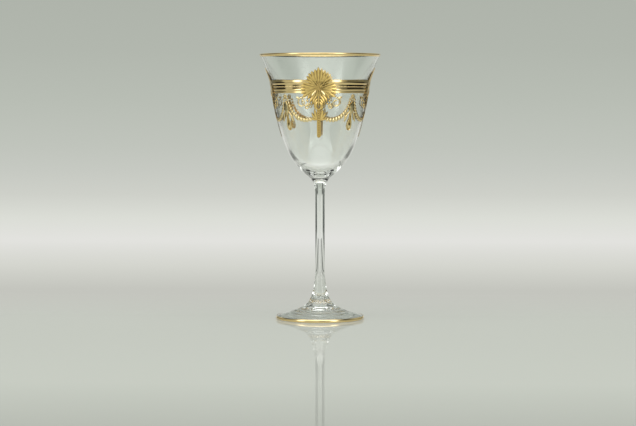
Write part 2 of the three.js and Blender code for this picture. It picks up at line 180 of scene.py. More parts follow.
class MeshBuffer:
    """Gathers closed shells, each with a finish, and makes one mesh object of them."""

    def __init__(self) -> None:
        """Starts empty."""
        self.points: list[Array] = []
        self.heights: list[Array] = []
        self.faces: list[tuple[int, ...]] = []
        self.finishes: list[int] = []
        self.count = 0

    def add(
        self,
        points: Array,
        faces: Sequence[tuple[int, ...]],
        finishes: Sequence[int],
        heights: Array | None = None,
    ) -> None:
        """Adds a shell.

        Args:
            points: Its vertices, in metres.
            faces: Vertex numbers of each face, from 0 in this shell.
            finishes: Material index of each face.
            heights: How high each vertex is in the relief, from 0 to 1, which sets the gold's painted shade
                in the hollows.
        """
        self.points.append(points)
        self.heights.append(np.zeros(len(points)) if heights is None else heights)
        self.faces += [tuple(i + self.count for i in face) for face in faces]
        self.finishes += list(finishes)
        self.count += len(points)

    def turn(self, profile: Array, facets: int, finishes: Sequence[int], closed: bool = False) -> None:
        """Adds a profile turned about the glass's axis.

        Args:
            profile: Radius and height of each point, in mm. A radius of 0 is a pole.
            facets: How many facets go round.
            finishes: Material index of each span of the profile.
            closed: Whether the last point joins the first.
        """
        angles = np.linspace(0, 2 * math.pi, facets, endpoint=False)
        rings: list[list[int]] = []
        points: list[tuple[float, float, float]] = []
        for radius, z in profile * MM:
            if radius < POLE:
                rings.append([len(points)] * facets)
                points.append((0.0, 0.0, z))
            else:
                rings.append(list(range(len(points), len(points) + facets)))
                points += [(radius * math.cos(a), radius * math.sin(a), z) for a in angles]
        spans = list(zip(rings, rings[1:]))
        if closed:
            spans.append((rings[-1], rings[0]))
        faces: list[tuple[int, ...]] = []
        kinds: list[int] = []
        for (low, high), kind in zip(spans, finishes):
            for i in range(facets):
                j = (i + 1) % facets
                corners = dict.fromkeys((low[i], low[j], high[j], high[i]))
                faces.append(tuple(corners))
                kinds.append(kind)
        self.add(np.array(points), faces, kinds)

    def strip(
        self, place: Place, spine: Array, half: Array, crest: Array, seat: float, front: int, back: int
    ) -> None:
        """Adds a raised strip along a spine on the flat transfer, as a closed shell.

        Args:
            place: Puts flat points on the glass.
            spine: Flat points, x and z in mm, along the middle.
            half: Half the width at each of them, in mm.
            crest: Height over the seat, in mm: a row for each spine point, a column for each place across.
            seat: Distance of the back off the glass, in mm.
            front: Material index of the face.
            back: Material index of the back.
        """
        along = np.gradient(spine, axis=0)
        along /= np.linalg.norm(along, axis=1, keepdims=True)
        side = np.stack([-along[:, 1], along[:, 0]], axis=1)
        across = np.linspace(-1.0, 1.0, crest.shape[1])
        flat = spine[:, None, :] + side[:, None, :] * half[:, None, None] * across[None, :, None]
        self.relief(place, flat, crest, crest / crest.max(), seat, front, back)

    def relief(
        self, place: Place, flat: Array, crest: Array, tone: Array, seat: float, front: int, back: int
    ) -> None:
        """Adds a raised patch on the flat transfer, as a closed shell.

        Args:
            place: Puts flat points on the glass.
            flat: A grid of flat points, x and z in mm.
            crest: Height over the seat at each of them, in mm.
            tone: How high each of them counts in the relief's tone, from 0 to 1, which sets the gold's
                painted shade.
            seat: Distance of the back off the glass, in mm.
            front: Material index of the face.
            back: Material index of the back.
        """
        rows, columns = crest.shape
        x, z = flat[..., 0].ravel(), flat[..., 1].ravel()
        top = place(x, z, seat + crest.ravel())
        under = place(x, z, np.full(x.shape, seat))
        size = rows * columns
        faces: list[tuple[int, ...]] = []
        for r in range(rows - 1):
            for c in range(columns - 1):
                a = r * columns + c
                faces.append((a, a + 1, a + columns + 1, a + columns))
        turned = [tuple(size + i for i in reversed(face)) for face in faces]
        edge = list(range(columns))
        edge += [r * columns + columns - 1 for r in range(1, rows)]
        edge += [(rows - 1) * columns + c for c in range(columns - 2, -1, -1)]
        edge += [r * columns for r in range(rows - 2, 0, -1)]
        walls = [(a, b, b + size, a + size) for a, b in zip(edge, edge[1:] + edge[:1])]
        heights = np.concatenate([tone.ravel(), np.zeros(size)])
        kinds = [front] * len(faces) + [back] * len(turned) + [front] * len(walls)
        self.add(np.concatenate([top, under]), faces + turned + walls, kinds, heights)

    def dome(
        self,
        place: Place,
        centre: Sequence[float],
        radius: float,
        rise: float,
        seat: float,
        front: int,
        back: int,
        stretch: float = 1.0,
        around: int = 12,
        rings: int = 4,
    ) -> None:
        """Adds a boss on the flat transfer, as a closed shell.

        Args:
            place: Puts flat points on the glass.
            centre: Its flat x and z, in mm.
            radius: Its radius, in mm.
            rise: Its height over the seat, in mm.
            seat: Distance of its back off the glass, in mm.
            front: Material index of the face.
            back: Material index of the back.
            stretch: Its length along x over its length along z.
            around: How many facets go round.
            rings: How many go up.
        """
        turn = np.linspace(0, 2 * math.pi, around, endpoint=False)
        x, z, off, height = [centre[0]], [centre[1]], [seat], [0.0]
        for k in range(rings):
            lift = k / rings * math.pi / 2
            x += list(centre[0] + stretch * radius * math.cos(lift) * np.cos(turn))
            z += list(centre[1] + radius * math.cos(lift) * np.sin(turn))
            off += [seat + rise * math.sin(lift)] * around
            height += [math.sin(lift)] * around
        x.append(centre[0])
        z.append(centre[1])
        off.append(seat + rise)
        height.append(1.0)
        faces: list[tuple[int, ...]] = []
        kinds: list[int] = []
        last = len(x) - 1
        for i in range(around):
            j = (i + 1) % around
            faces.append((0, 1 + j, 1 + i))
            kinds.append(back)
            for k in range(rings - 1):
                low, high = 1 + k * around, 1 + (k + 1) * around
                faces.append((low + i, low + j, high + j, high + i))
                kinds.append(front)
            faces.append((last - around + i, last - around + j, last))
            kinds.append(front)
        self.add(place(np.array(x), np.array(z), np.array(off)), faces, kinds, np.array(height))

    def build(
        self, name: str, materials: Sequence[bpy.types.Material], crease: float = 50.0
    ) -> bpy.types.Object:
        """Makes the mesh object.

        Args:
            name: The object's name.
            materials: What the faces' material indices stand for.
            crease: Edges that bend by more degrees than this are sharp.

        Returns:
            The object, at the origin, with its faces outwards.
        """
        mesh = bpy.data.meshes.new(name)
        mesh.from_pydata(np.concatenate(self.points).tolist(), [], self.faces)
        mesh.polygons.foreach_set("material_index", self.finishes)
        # The relief's tone, which lays painted shade in the gold's hollows
        height = mesh.attributes.new("height", "FLOAT", "POINT")
        height.data.foreach_set("value", np.concatenate(self.heights).astype(np.float32))
        work = bmesh.new()
        work.from_mesh(mesh)
        bmesh.ops.remove_doubles(work, verts=work.verts, dist=MERGE)
        bmesh.ops.recalc_face_normals(work, faces=work.faces)
        for edge in work.edges:
            edge.smooth = edge.calc_face_angle(0.0) < math.radians(crease)
        for face in work.faces:
            face.smooth = True
        work.to_mesh(mesh)
        work.free()
        for material in materials:
            mesh.materials.append(material)
        made = bpy.data.objects.new(name, mesh)
        bpy.context.scene.collection.objects.link(made)
        return made


def join(first: bpy.types.Object, others: Sequence[bpy.types.Object]) -> None:
    """Joins objects into the first, which keeps its name."""
    with bpy.context.temp_override(active_object=first, selected_editable_objects=[first, *others]):
        bpy.ops.object.join()


def finish_piece(piece: bpy.types.Object, node: str) -> None:
    """Sets a piece on the frame in place of its CAD node, and reports it.

    Args:
        piece: The finished object.
        node: The CAD node that it stands for.
    """
    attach(piece, BODY)
    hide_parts(node)
    log.info("%s stands for %s: %d faces", piece.name, node, len(piece.data.polygons))


# Finishes


@dataclass(frozen=True)
class CrystalFinish:
    """Lead crystal, blown and fire polished.

    Clear and nearly without tint. The surface is melted smooth, so it mirrors the lamps sharply, with the
    slow waves that blowing leaves.
    """

    name: str = "lead_crystal_fire_polished"
    colour: str = "#FCFEFC"
    ior: float = 1.545
    wave_mm: float = 14.0
    wave_depth_mm: float = 0.01

    def make(self) -> bpy.types.Material:
        """Builds the material.

        Returns:
            The material.
        """
        material = bpy.data.materials.new(self.name)
        material.use_nodes = True
        tree = material.node_tree
        shader = tree.nodes["Principled BSDF"]
        shader.inputs["Base Color"].default_value = linear(self.colour)
        shader.inputs["Roughness"].default_value = 0.0
        shader.inputs["IOR"].default_value = self.ior
        shader.inputs["Transmission Weight"].default_value = 1.0
        where = add_node(tree, "ShaderNodeTexCoord")
        wave = add_node(
            tree,
            "ShaderNodeTexNoise",
            inputs={"Vector": where.outputs["Object"], "Scale": 1 / (self.wave_mm * MM), "Detail": 0.0},
        )
        bump = add_node(
            tree,
            "ShaderNodeBump",
            inputs={"Height": wave.outputs["Fac"], "Distance": self.wave_depth_mm * MM, "Strength": 1.0},
        )
        tree.links.new(bump.outputs["Normal"], shader.inputs["Normal"])
        return material


@dataclass(frozen=True)
class WeldFinish:
    """The joint of two crystal pieces, fused hot: no surface is left there, so nothing shows."""

    name: str = "fused_joint"

    def make(self) -> bpy.types.Material:
        """Builds the material.

        Returns:
            The material.
        """
        material = bpy.data.materials.new(self.name)
        material.use_nodes = True
        tree = material.node_tree
        tree.nodes.remove(tree.nodes["Principled BSDF"])
        clear = add_node(tree, "ShaderNodeBsdfTransparent")
        tree.links.new(clear.outputs["BSDF"], tree.nodes["Material Output"].inputs["Surface"])
        return material


@dataclass(frozen=True)
class GoldFinish:
    """Gold fired on glass: a metal's coloured mirror, more or less burnished."""

    name: str
    colour: str
    # The low colour is painted shade in a relief's hollows, and the duller gold of uneven firing in patches
    low_colour: str
    roughness: float
    roughness_spread: float
    grain_mm: float
    grain_depth_mm: float
    tone: Tone
    hollow: float = 0.35  # relief up to here has the low colour
    crest: float = 0.9  # and from here up the full one
    grain_detail: float = 3.0
    grain_low: float = 0.3  # most of the grain's values lie between these two
    grain_high: float = 0.7

    def make(self) -> bpy.types.Material:
        """Builds the material.

        Returns:
            The material.
        """
        material = bpy.data.materials.new(self.name)
        material.use_nodes = True
        tree = material.node_tree
        shader = tree.nodes["Principled BSDF"]
        shader.inputs["Metallic"].default_value = 1.0
        where = add_node(tree, "ShaderNodeTexCoord")
        grain = add_node(
            tree,
            "ShaderNodeTexNoise",
            inputs={
                "Vector": where.outputs["Object"],
                "Scale": 1 / (self.grain_mm * MM),
                "Detail": self.grain_detail,
            },
        )
        # A relief gets painted shade: the low colour in its hollows, the full colour on its crests
        if self.tone is Tone.RELIEF_SHADE:
            height = add_node(tree, "ShaderNodeAttribute", {"attribute_name": "height"})
            tone = add_node(
                tree,
                "ShaderNodeMapRange",
                inputs={"Value": height.outputs["Fac"], "From Min": self.hollow, "From Max": self.crest},
            ).outputs["Result"]
        else:
            tone = grain.outputs["Fac"]
        colour = add_node(
            tree,
            "ShaderNodeMix",
            {"data_type": "RGBA"},
            {"Factor": tone, 6: linear(self.low_colour), 7: linear(self.colour)},
        )
        rough = add_node(
            tree,
            "ShaderNodeMapRange",
            inputs={
                "Value": grain.outputs["Fac"],
                "From Min": self.grain_low,
                "From Max": self.grain_high,
                "To Min": self.roughness - self.roughness_spread,
                "To Max": self.roughness + self.roughness_spread,
            },
        )
        bump = add_node(
            tree,
            "ShaderNodeBump",
            inputs={"Height": grain.outputs["Fac"], "Distance": self.grain_depth_mm * MM, "Strength": 1.0},
        )
        tree.links.new(colour.outputs[2], shader.inputs["Base Color"])
        tree.links.new(rough.outputs["Result"], shader.inputs["Roughness"])
        tree.links.new(bump.outputs["Normal"], shader.inputs["Normal"])
        return material


# The foot's crystal, pressed while soft: the same clear glass, with shorter and deeper waves that break
# up what it shows
PRESSED = CrystalFinish("lead_crystal_pressed", wave_mm=7.0, wave_depth_mm=0.05)
# Liquid gold, fired and burnished on the plain bands: mirror bright and pale, with faint uneven firing
BURNISHED = GoldFinish("burnished_gold", "#F5DDA8", "#E8CC90", 0.03, 0.015, 5.0, 0.002, Tone.PATCHES)
# Raised gold paste, fired satin: warm highlights, and a brown painted shade in the hollows. Its fired grain
# is too fine to show, so it is drawn at half a millimetre, here and on the next one
RAISED = GoldFinish("raised_satin_gold", "#FCDA8A", "#5A4018", 0.13, 0.04, 0.5, 0.01, Tone.RELIEF_SHADE)
# The same paste on the small hanging motifs, painted paler all over as painted light, with a light gold
# painted shade in the hollows
PAINTED_LIGHT_GOLD = GoldFinish("paste_gold_painted_light", "#FFECB8", "#CBAA64", 0.2, 0.06, 0.5, 0.01, Tone.RELIEF_SHADE)
# The gold's underside, fired against smooth glass: a duller, softer mirror
REVERSE = GoldFinish("gold_reverse", "#C9AE72", "#A08450", 0.2, 0.05, 1.2, 0.004, Tone.PATCHES)
# The underside of the gold on the lip, seen through the glass: a smooth film, painted dark grey-brown as
# painted shade
MIRRORED = GoldFinish("burnished_reverse", "#8C867A", "#5E5A50", 0.06, 0.02, 5.0, 0.004, Tone.PATCHES)


@dataclass
class Palette:
    """The object's finishes, as made materials."""

    crystal: bpy.types.Material = field(default_factory=CrystalFinish().make)
    pressed: bpy.types.Material = field(default_factory=PRESSED.make)
    weld: bpy.types.Material = field(default_factory=WeldFinish().make)
    burnished: bpy.types.Material = field(default_factory=BURNISHED.make)
    raised: bpy.types.Material = field(default_factory=RAISED.make)
    painted_light_gold: bpy.types.Material = field(default_factory=PAINTED_LIGHT_GOLD.make)
    reverse: bpy.types.Material = field(default_factory=REVERSE.make)
    mirrored: bpy.types.Material = field(default_factory=MIRRORED.make)

    def gilding(self) -> list[bpy.types.Material]:
        """Materials of a raised motif, in the order of Face."""
        return [self.raised, self.reverse, self.burnished, self.painted_light_gold]


class Face(int, Enum):
    """Material indices on a raised motif."""

    RAISED = 0
    REVERSE = 1
    BURNISHED = 2
    # Paste gold painted paler, as painted light
    PAINTED_LIGHT_GOLD = 3


# Glass


@dataclass
class BowlWall:
    """The outlines of the bowl's wall, in mm and degrees above the level, which the gilding follows."""

    joint_z: float
    lip_top_z: float
    lip_radius: float
    joint_radius: float = 7.9
    waist_radius: float = 39.0
    waist_drop: float = 21.7  # the waist is this far under the top of the lip
    waist_lean: float = 82.3
    lip_slope: float = 60.0
    cup_slope: float = 39.5
    spring: float = 18.62  # length of the outer curve's handle at the joint
    cup_pull: float = 0.71  # handles at waist and lip, as shares of the height that their curves span
    lip_pull: float = 0.25
    wall: float = 1.4
    lip: float = 1.1
    floor: float = 3.0
    floor_spread: float = 18.0  # length of the inner curve's handle on the floor
    steps: int = 72

    def __post_init__(self) -> None:
        """Draws both outlines, and the table that places gilding on the outside."""
        self.waist_z = self.lip_top_z - self.waist_drop
        self.lip_centre = np.array([self.lip_radius - self.lip / 2, self.lip_top_z - self.lip / 2])
        self.outside = self.outline(
            np.array([self.joint_radius, self.joint_z]),
            polar(self.spring, self.cup_slope),
            self.waist_radius,
            self.lip_radius,
        )
        self.inside = self.outline(
            np.array([0.0, self.joint_z + self.floor]),
            np.array([self.floor_spread, 0.0]),
            self.waist_radius - self.wall,
            self.lip_radius - self.lip,
        )
        along = np.gradient(self.outside, axis=0)
        along /= np.linalg.norm(along, axis=1, keepdims=True)
        self.normals = np.stack([along[:, 1], -along[:, 0]], axis=1)

    def outline(self, start: Array, handle: Array, waist_radius: float, rim_radius: float) -> Array:
        """Draws one side of the wall.

        Args:
            start: Where it begins at the bottom, as radius and height.
            handle: The step that its curve leaves by.
            waist_radius: Its radius at the waist.
            rim_radius: Its radius under the round of the lip.

        Returns:
            Points from the bottom to the rim.
        """
        waist = np.array([waist_radius, self.waist_z])
        rim = np.array([rim_radius, self.lip_centre[1]])
        cup_handle = (waist[1] - start[1]) * self.cup_pull
        lip_handle = (rim[1] - waist[1]) * self.lip_pull
        cup = bezier(
            [start, start + handle, waist - polar(cup_handle, self.waist_lean), waist], self.steps
        )
        lip = bezier(
            [
                waist,
                waist + polar(lip_handle / 3, self.waist_lean),
                rim - polar(lip_handle, self.lip_slope),
                rim,
            ],
            self.steps // 2,
        )
        return np.concatenate([cup, lip[1:]])

    def stand_off(self, z: Array, off: Array) -> tuple[Array, Array]:
        """Finds points off the outside of the glass.

        Args:
            z: Heights on the glass, in mm.
            off: Distances off the glass along its normal, in mm.

        Returns:
            Radius and height of each point.
        """
        heights = self.outside[:, 1]
        radius = np.interp(z, heights, self.outside[:, 0])
        outward = np.interp(z, heights, self.normals[:, 0])
        upward = np.interp(z, heights, self.normals[:, 1])
        return radius + off * outward, z + off * upward

    def placer(self, bearing: float) -> Place:
        """Gives the function that wraps a flat motif round the glass.

        Args:
            bearing: Where the motif's middle is, in radians.

        Returns:
            The function, from flat points in mm to points in metres.
        """

        def place(x: Array, z: Array, off: Array) -> Array:
            """Wraps flat points.

            Args:
                x: How far each is to the right of the bearing, in mm.
                z: Its height, in mm.
                off: Its distance off the glass, in mm.

            Returns:
                The points, in metres.
            """
            angle = bearing + x / np.interp(z, self.outside[:, 1], self.outside[:, 0])
            radius, height = self.stand_off(z, off)
            return np.stack([radius * np.cos(angle), radius * np.sin(angle), height], axis=1) * MM

        return place

    def radius_at(self, z: float) -> float:
        """The outside radius at a height, in mm."""
        return float(np.interp(z, self.outside[:, 1], self.outside[:, 0]))


@dataclass
class GlassBody:
    """Bowl, stem and foot: three pieces of crystal fused into one, in mm and degrees."""

    wall: BowlWall
    palette: Palette
    weld_gap: float = 0.02
    foot_radius: float = 34.7
    foot_edge: float = 2.6
    foot_rise: float = 12.8
    foot_slope: float = 17.0
    foot_hollow: float = 7.0
    rest_width: float = 5.0
    foot_joint_radius: float = 9.8
    ring_pitch: float = 4.6  # the soft rings in the foot
    ring_depth: float = 0.16
    base_slope: float = 46.0
    base_length: float = 26.0
    stem_radius: float = 3.65
    head_radius: float = 3.7
    cap_length: float = 15.0
    cap_slope: float = 42.0
    neck_pull: float = 0.4  # handles of the cap's curve at neck and bowl, as shares of its length
    cap_pull: float = 0.32
    crease: float = 30.0  # edges that bend by more are sharp
    facets: int = 256
    stem_facets: int = 128
    curve_steps: int = 64
    round_steps: int = 16

    def bowl(self) -> None:
        """Builds the hollow bowl with its rounded lip."""
        wall = self.wall
        lip = arc(wall.lip_centre, wall.lip / 2, 0, 180, self.round_steps)[1:-1]
        middle = np.array([[0.0, wall.joint_z]])
        profile = np.concatenate([middle, wall.outside, lip, wall.inside[::-1]])
        self.glass("bowl", profile, self.facets, [1] + [0] * (len(profile) - 2), self.palette.crystal)

    def stem(self) -> None:
        """Builds the drawn stem, with its bell base and its flared cap."""
        bottom = np.array([self.foot_joint_radius, self.foot_rise + self.weld_gap])
        waist = np.array([self.stem_radius, self.foot_rise + self.base_length])
        neck = np.array([self.head_radius, self.wall.joint_z - self.cap_length])
        top = np.array([self.wall.joint_radius, self.wall.joint_z - self.weld_gap])
        quarter = self.base_length / 4
        base = bezier(
            [bottom, bottom + polar(quarter, 180 - self.base_slope), waist + polar(quarter, -90), waist],
            self.curve_steps,
        )
        shank = np.linspace(waist, neck, self.curve_steps)[1:-1]
        cap = bezier(
            [
                neck,
                neck + polar(self.cap_length * self.neck_pull, 90),
                top + polar(self.cap_length * self.cap_pull, 180 + self.cap_slope),
                top,
            ],
            self.curve_steps,
        )
        foot_end = np.array([[0.0, bottom[1]]])
        bowl_end = np.array([[0.0, top[1]]])
        profile = np.concatenate([foot_end, base, shank, cap, bowl_end])
        finishes = [1] + [0] * (len(profile) - 3) + [1]
        self.glass("stem", profile, self.stem_facets, finishes, self.palette.crystal)

    def foot(self) -> None:
        """Builds the pressed foot, hollow underneath and flat on its rest."""
        edge_radius = self.foot_edge / 2
        centre = np.array([self.foot_radius - edge_radius, edge_radius])
        rest_inner = centre[0] - self.rest_width
        edge = arc(centre, edge_radius, -90, 90 - self.foot_slope, self.round_steps)
        joint = np.array([self.foot_joint_radius, self.foot_rise])
        top = edge[-1]
        reach = top[0] - joint[0]
        rise = bezier(
            [
                top,
                top + polar(reach / 2, 180 - self.foot_slope),
                joint + polar(reach / 4, -self.base_slope),
                joint,
            ],
            self.curve_steps,
        )
        hollow = bezier(
            [[0.0, self.foot_hollow], [rest_inner / 2, self.foot_hollow], [rest_inner, 0.0]],
            self.curve_steps,
        )
        middle = np.array([[0.0, self.foot_rise]])
        profile = np.concatenate([self.ringed(hollow), edge, self.ringed(rise)[1:], middle])
        self.glass("foot", profile, self.facets, [0] * (len(profile) - 2) + [1], self.palette.pressed)

    def ringed(self, profile: Array) -> Array:
        """Adds the faint rings that shaping leaves in the turning glass, dying out at both ends.

        Args:
            profile: Radius and height of each point, in mm.

        Returns:
            The ringed profile.
        """
        still = np.sin(np.pi * np.linspace(0, 1, len(profile)))
        rings = np.sin(2 * np.pi * profile[:, 0] / self.ring_pitch)
        return profile + np.stack([np.zeros(len(profile)), self.ring_depth * still * rings], axis=1)

    def glass(
        self, node: str, profile: Array, facets: int, finishes: Sequence[int], surface: bpy.types.Material
    ) -> None:
        """Turns one piece of crystal and sets it on the frame.

        Args:
            node: The CAD node that it stands for.
            profile: Its profile from axis to axis, in mm.
            facets: How many facets go round.
            finishes: 0 for its surface and 1 for a fused joint, for each span of the profile.
            surface: The crystal that it shows.
        """
        buffer = MeshBuffer()
        buffer.turn(profile, facets, finishes)
        piece = buffer.build(f"crystal_{node}", [surface, self.palette.weld], self.crease)
        finish_piece(piece, node)


# Gold, with sizes in mm and angles in degrees


@dataclass
class GiltBands:
    """The gold on the lip and on the foot's edge, in mm and degrees."""

    wall: BowlWall
    glass: GlassBody
    palette: Palette
    gap: float = 0.1
    thickness: float = 0.2
    rim_outside: float = 2.0  # how far the band comes down from the top of the lip
    rim_inside: float = 0.6  # and inside, from the middle of the lip's round
    foot_arc: float = 50.0  # how far it goes up and down the foot's round edge
    facets: int = 256
    steps: int = 12

    def rim(self) -> None:
        """Builds the band over the lip."""
        wall = self.wall
        inner = wall.lip / 2 + self.gap
        outer = inner + self.thickness
        lower = np.linspace(wall.lip_top_z - self.rim_outside, wall.lip_centre[1], self.steps)[:-1]
        face = np.stack(wall.stand_off(lower, np.full(lower.shape, self.gap + self.thickness)), axis=1)
        seat = np.stack(wall.stand_off(lower, np.full(lower.shape, self.gap)), axis=1)
        lean = self.rim_inside / math.tan(math.radians(wall.lip_slope))
        inside = wall.lip_centre - np.array([inner + lean, self.rim_inside])
        over = arc(wall.lip_centre, outer, 0, 180, self.steps)
        under = arc(wall.lip_centre, inner, 180, 0, self.steps)
        step = np.array([[self.thickness, 0.0]])
        profile = np.concatenate([face, over, [inside] - step, [inside], under, seat[::-1]])
        front = len(face) + len(over)
        # Its side against the glass shows the underside, painted dark as painted shade
        self.band("rim_gilding", profile, front, self.palette.mirrored)

    def foot(self) -> None:
        """Builds the band round the foot's edge."""
        radius = self.glass.foot_edge / 2
        centre = np.array([self.glass.foot_radius - radius, radius])
        inner = radius + self.gap
        face = arc(centre, inner + self.thickness, -self.foot_arc, self.foot_arc, self.steps)
        seat = arc(centre, inner, self.foot_arc, -self.foot_arc, self.steps)
        self.band("foot_gilding", np.concatenate([face, seat]), len(face) - 1, self.palette.reverse)

    def band(self, node: str, profile: Array, front: int, back: bpy.types.Material) -> None:
        """Turns one band and sets it on the frame.

        Args:
            node: The CAD node that it stands for.
            profile: Its closed profile, in mm, with the face first.
            front: How many spans the face has.
            back: What the side against the glass shows.
        """
        buffer = MeshBuffer()
        buffer.turn(profile, self.facets, [0] * front + [1] * (len(profile) - front), closed=True)
        piece = buffer.build(f"gilt_{node}", [self.palette.burnished, back])
        finish_piece(piece, node)


class StrungPath:
    """Geometry Nodes that string a small form along a path on the glass."""

    def __init__(self) -> None:
        """Builds the tree: the path becomes a curve, and each of its points takes the form."""
        self.tree = bpy.data.node_groups.new("strung_path", "GeometryNodeTree")
        face = self.tree.interface
        face.new_socket("Geometry", in_out="OUTPUT", socket_type="NodeSocketGeometry")
        self.sockets = {
            name: face.new_socket(name, in_out="INPUT", socket_type=kind).identifier
            for name, kind in (
                ("Geometry", "NodeSocketGeometry"),
                ("Form", "NodeSocketObject"),
                ("Count", "NodeSocketInt"),
                ("Finish", "NodeSocketMaterial"),
            )
        }
        tree = self.tree
        given = add_node(tree, "NodeGroupInput").outputs
        curve = add_node(tree, "GeometryNodeMeshToCurve", inputs={"Mesh": given["Geometry"]})
        spaced = add_node(
            tree,
            "GeometryNodeResampleCurve",
            {"mode": "COUNT"},
            {"Curve": curve.outputs["Curve"], "Count": given["Count"]},
        )
        outward = add_node(
            tree, "GeometryNodeInputNamedAttribute", {"data_type": "FLOAT_VECTOR"}, {"Name": "outward"}
        )
        fullness = add_node(
            tree, "GeometryNodeInputNamedAttribute", {"data_type": "FLOAT"}, {"Name": "fullness"}
        )
        tangent = add_node(tree, "GeometryNodeInputTangent")
        ahead = add_node(
            tree,
            "FunctionNodeAlignRotationToVector",
            {"axis": "X"},
            {"Vector": tangent.outputs["Tangent"]},
        )
        upright = add_node(
            tree,
            "FunctionNodeAlignRotationToVector",
            {"axis": "Z", "pivot_axis": "X"},
            {"Rotation": ahead.outputs["Rotation"], "Vector": outward.outputs["Attribute"]},
        )
        form = add_node(
            tree, "GeometryNodeObjectInfo", inputs={"Object": given["Form"], "As Instance": True}
        )
        placed = add_node(
            tree,
            "GeometryNodeInstanceOnPoints",
            inputs={
                "Points": spaced.outputs["Curve"],
                "Instance": form.outputs["Geometry"],
                "Rotation": upright.outputs["Rotation"],
                "Scale": fullness.outputs["Attribute"],
            },
        )
        real = add_node(
            tree, "GeometryNodeRealizeInstances", inputs={"Geometry": placed.outputs["Instances"]}
        )
        dressed = add_node(
            tree,
            "GeometryNodeSetMaterial",
            inputs={"Geometry": real.outputs["Geometry"], "Material": given["Finish"]},
        )
        add_node(tree, "NodeGroupOutput", inputs={"Geometry": dressed.outputs["Geometry"]})

    def string(
        self,
        name: str,
        points: Array,
        outward: Array,
        fullness: Array,
        form: bpy.types.Object,
        count: int,
        finish: bpy.types.Material,
        closed: bool = False,
    ) -> bpy.types.Object:
        """Strings a form along a path.

        Args:
            name: Name of the result.
            points: The path, in metres.
            outward: Away from the glass at each of its points.
            fullness: Size of the form at each of its points, as a share of its own.
            form: The object that is repeated, drawn along +X with +Z away from the glass.
            count: How many there are.
            finish: Their material.
            closed: Whether the path is a ring.

        Returns:
            A plain mesh object at the origin.
        """
        mesh = bpy.data.meshes.new(name)
        edges = [(i, i + 1) for i in range(len(points) - 1)]
        if closed:
            edges.append((len(points) - 1, 0))
        mesh.from_pydata(points.tolist(), edges, [])
        mesh.attributes.new("outward", "FLOAT_VECTOR", "POINT").data.foreach_set(
            "vector", outward.astype(np.float32).ravel()
        )
        mesh.attributes.new("fullness", "FLOAT", "POINT").data.foreach_set(
            "value", fullness.astype(np.float32)
        )
        made = bpy.data.objects.new(name, mesh)
        bpy.context.scene.collection.objects.link(made)
        modifier = made.modifiers.new("strung", "NODES")
        modifier.node_group = self.tree
        modifier[self.sockets["Form"]] = form
        modifier[self.sockets["Count"]] = count
        modifier[self.sockets["Finish"]] = finish
        graph = bpy.context.evaluated_depsgraph_get()
        plain = bpy.data.meshes.new_from_object(
            made.evaluated_get(graph), preserve_all_data_layers=True, depsgraph=graph
        )
        made.modifiers.remove(modifier)
        made.data = plain
        bpy.data.meshes.remove(mesh)
        return made


def flat_place(x: Array, z: Array, off: Array) -> Array:
    """Places a form for stringing: along +X, across +Y, up +Z, from mm to metres."""
    return np.stack([x, z, off], axis=1) * MM


class LeafForm(Enum):
    """How a leaf is modelled across."""

    VEINED = "veined"  # crowned, with a groove along its middle
    PLEATED = "pleated"  # folded along a sharp ridge, as in a fan


@dataclass(frozen=True)
class LeafShape:
    """What all leaves have in common, as shares."""

    edge: float = 0.3  # height at the rim, of the rise
    root: float = 0.22  # least width at the foot, of the greatest
    tip: float = 0.05  # and at the tip
    notch: float = 0.22  # how far the notches between lobes cut into the width
    fullness: float = 0.85  # power of the outline's swell: under 1, its sides are fuller
    body_from: float = 0.12  # the height follows this stretch of a half wave from foot to tip
    body_over: float = 0.8
    body_least: float = 0.05
    vein: float = 0.3  # depth of the groove, of the rise
    vein_width: float = 0.18  # of half the width
    vein_fade: float = 0.7  # how much of the groove is gone at the tip
    crown: float = 2.2  # power of the crown across: over 2, it is flatter than a round


LEAF = LeafShape()


def leaf(
    buffer: MeshBuffer,
    place: Place,
    root: Sequence[float],
    tip: Sequence[float],
    width: float,
    rise: float,
    seat: float,
    widest: float = 0.55,
    lobes: int = 0,
    bend: float = 0.0,
    steps: int = 18,
    across: int = 9,
    face: Face = Face.RAISED,
    form: LeafForm = LeafForm.VEINED,
) -> None:
    """Adds a raised leaf.

    Args:
        buffer: Takes the shell.
        place: Puts flat points on the glass.
        root: Flat x and z of its foot, in mm.
        tip: Flat x and z of its tip, in mm.
        width: Its greatest width, in mm.
        rise: Its height over the seat, in mm.
        seat: Distance of its back off the glass, in mm.
        widest: Where along it is widest, as a share.
        lobes: How many lobes notch each side.
        bend: How far its middle bows to the left, in mm.
        steps: Steps along.
        across: Points across.
        face: Its finish.
        form: How it is modelled across.
    """
    root_at, tip_at = np.array(root, float), np.array(tip, float)
    ahead = (tip_at - root_at) / np.linalg.norm(tip_at - root_at)
    middle = (root_at + tip_at) / 2 + 2 * bend * np.array([-ahead[1], ahead[0]])
    spine = bezier([root_at, middle, tip_at], steps)
    s = np.linspace(0.0, 1.0, steps + 1)
    swell = np.sin(np.pi * s ** (math.log(0.5) / math.log(widest)))
    notch = 1 - LEAF.notch * (1 - np.cos(2 * np.pi * lobes * s)) / 2
    least = np.maximum(LEAF.root * (1 - s), LEAF.tip)
    half = width / 2 * np.maximum(swell**LEAF.fullness * notch, least)
    v = np.linspace(-1.0, 1.0, across)
    wave = np.sin(np.pi * (LEAF.body_from + LEAF.body_over * s))
    body = np.sqrt(np.clip(wave, LEAF.body_least, 1))[:, None]
    if form is LeafForm.PLEATED:
        section = np.tile(1 - np.abs(v), (steps + 1, 1))
    else:
        groove = np.exp(-((v / LEAF.vein_width) ** 2))[None, :] * (1 - LEAF.vein_fade * s)[:, None]
        section = (1 - np.abs(v) ** LEAF.crown)[None, :] - LEAF.vein * groove
    crest = rise * (LEAF.edge + (1 - LEAF.edge) * body * section)
    buffer.strip(place, spine, half, crest, seat, face.value, Face.REVERSE.value)


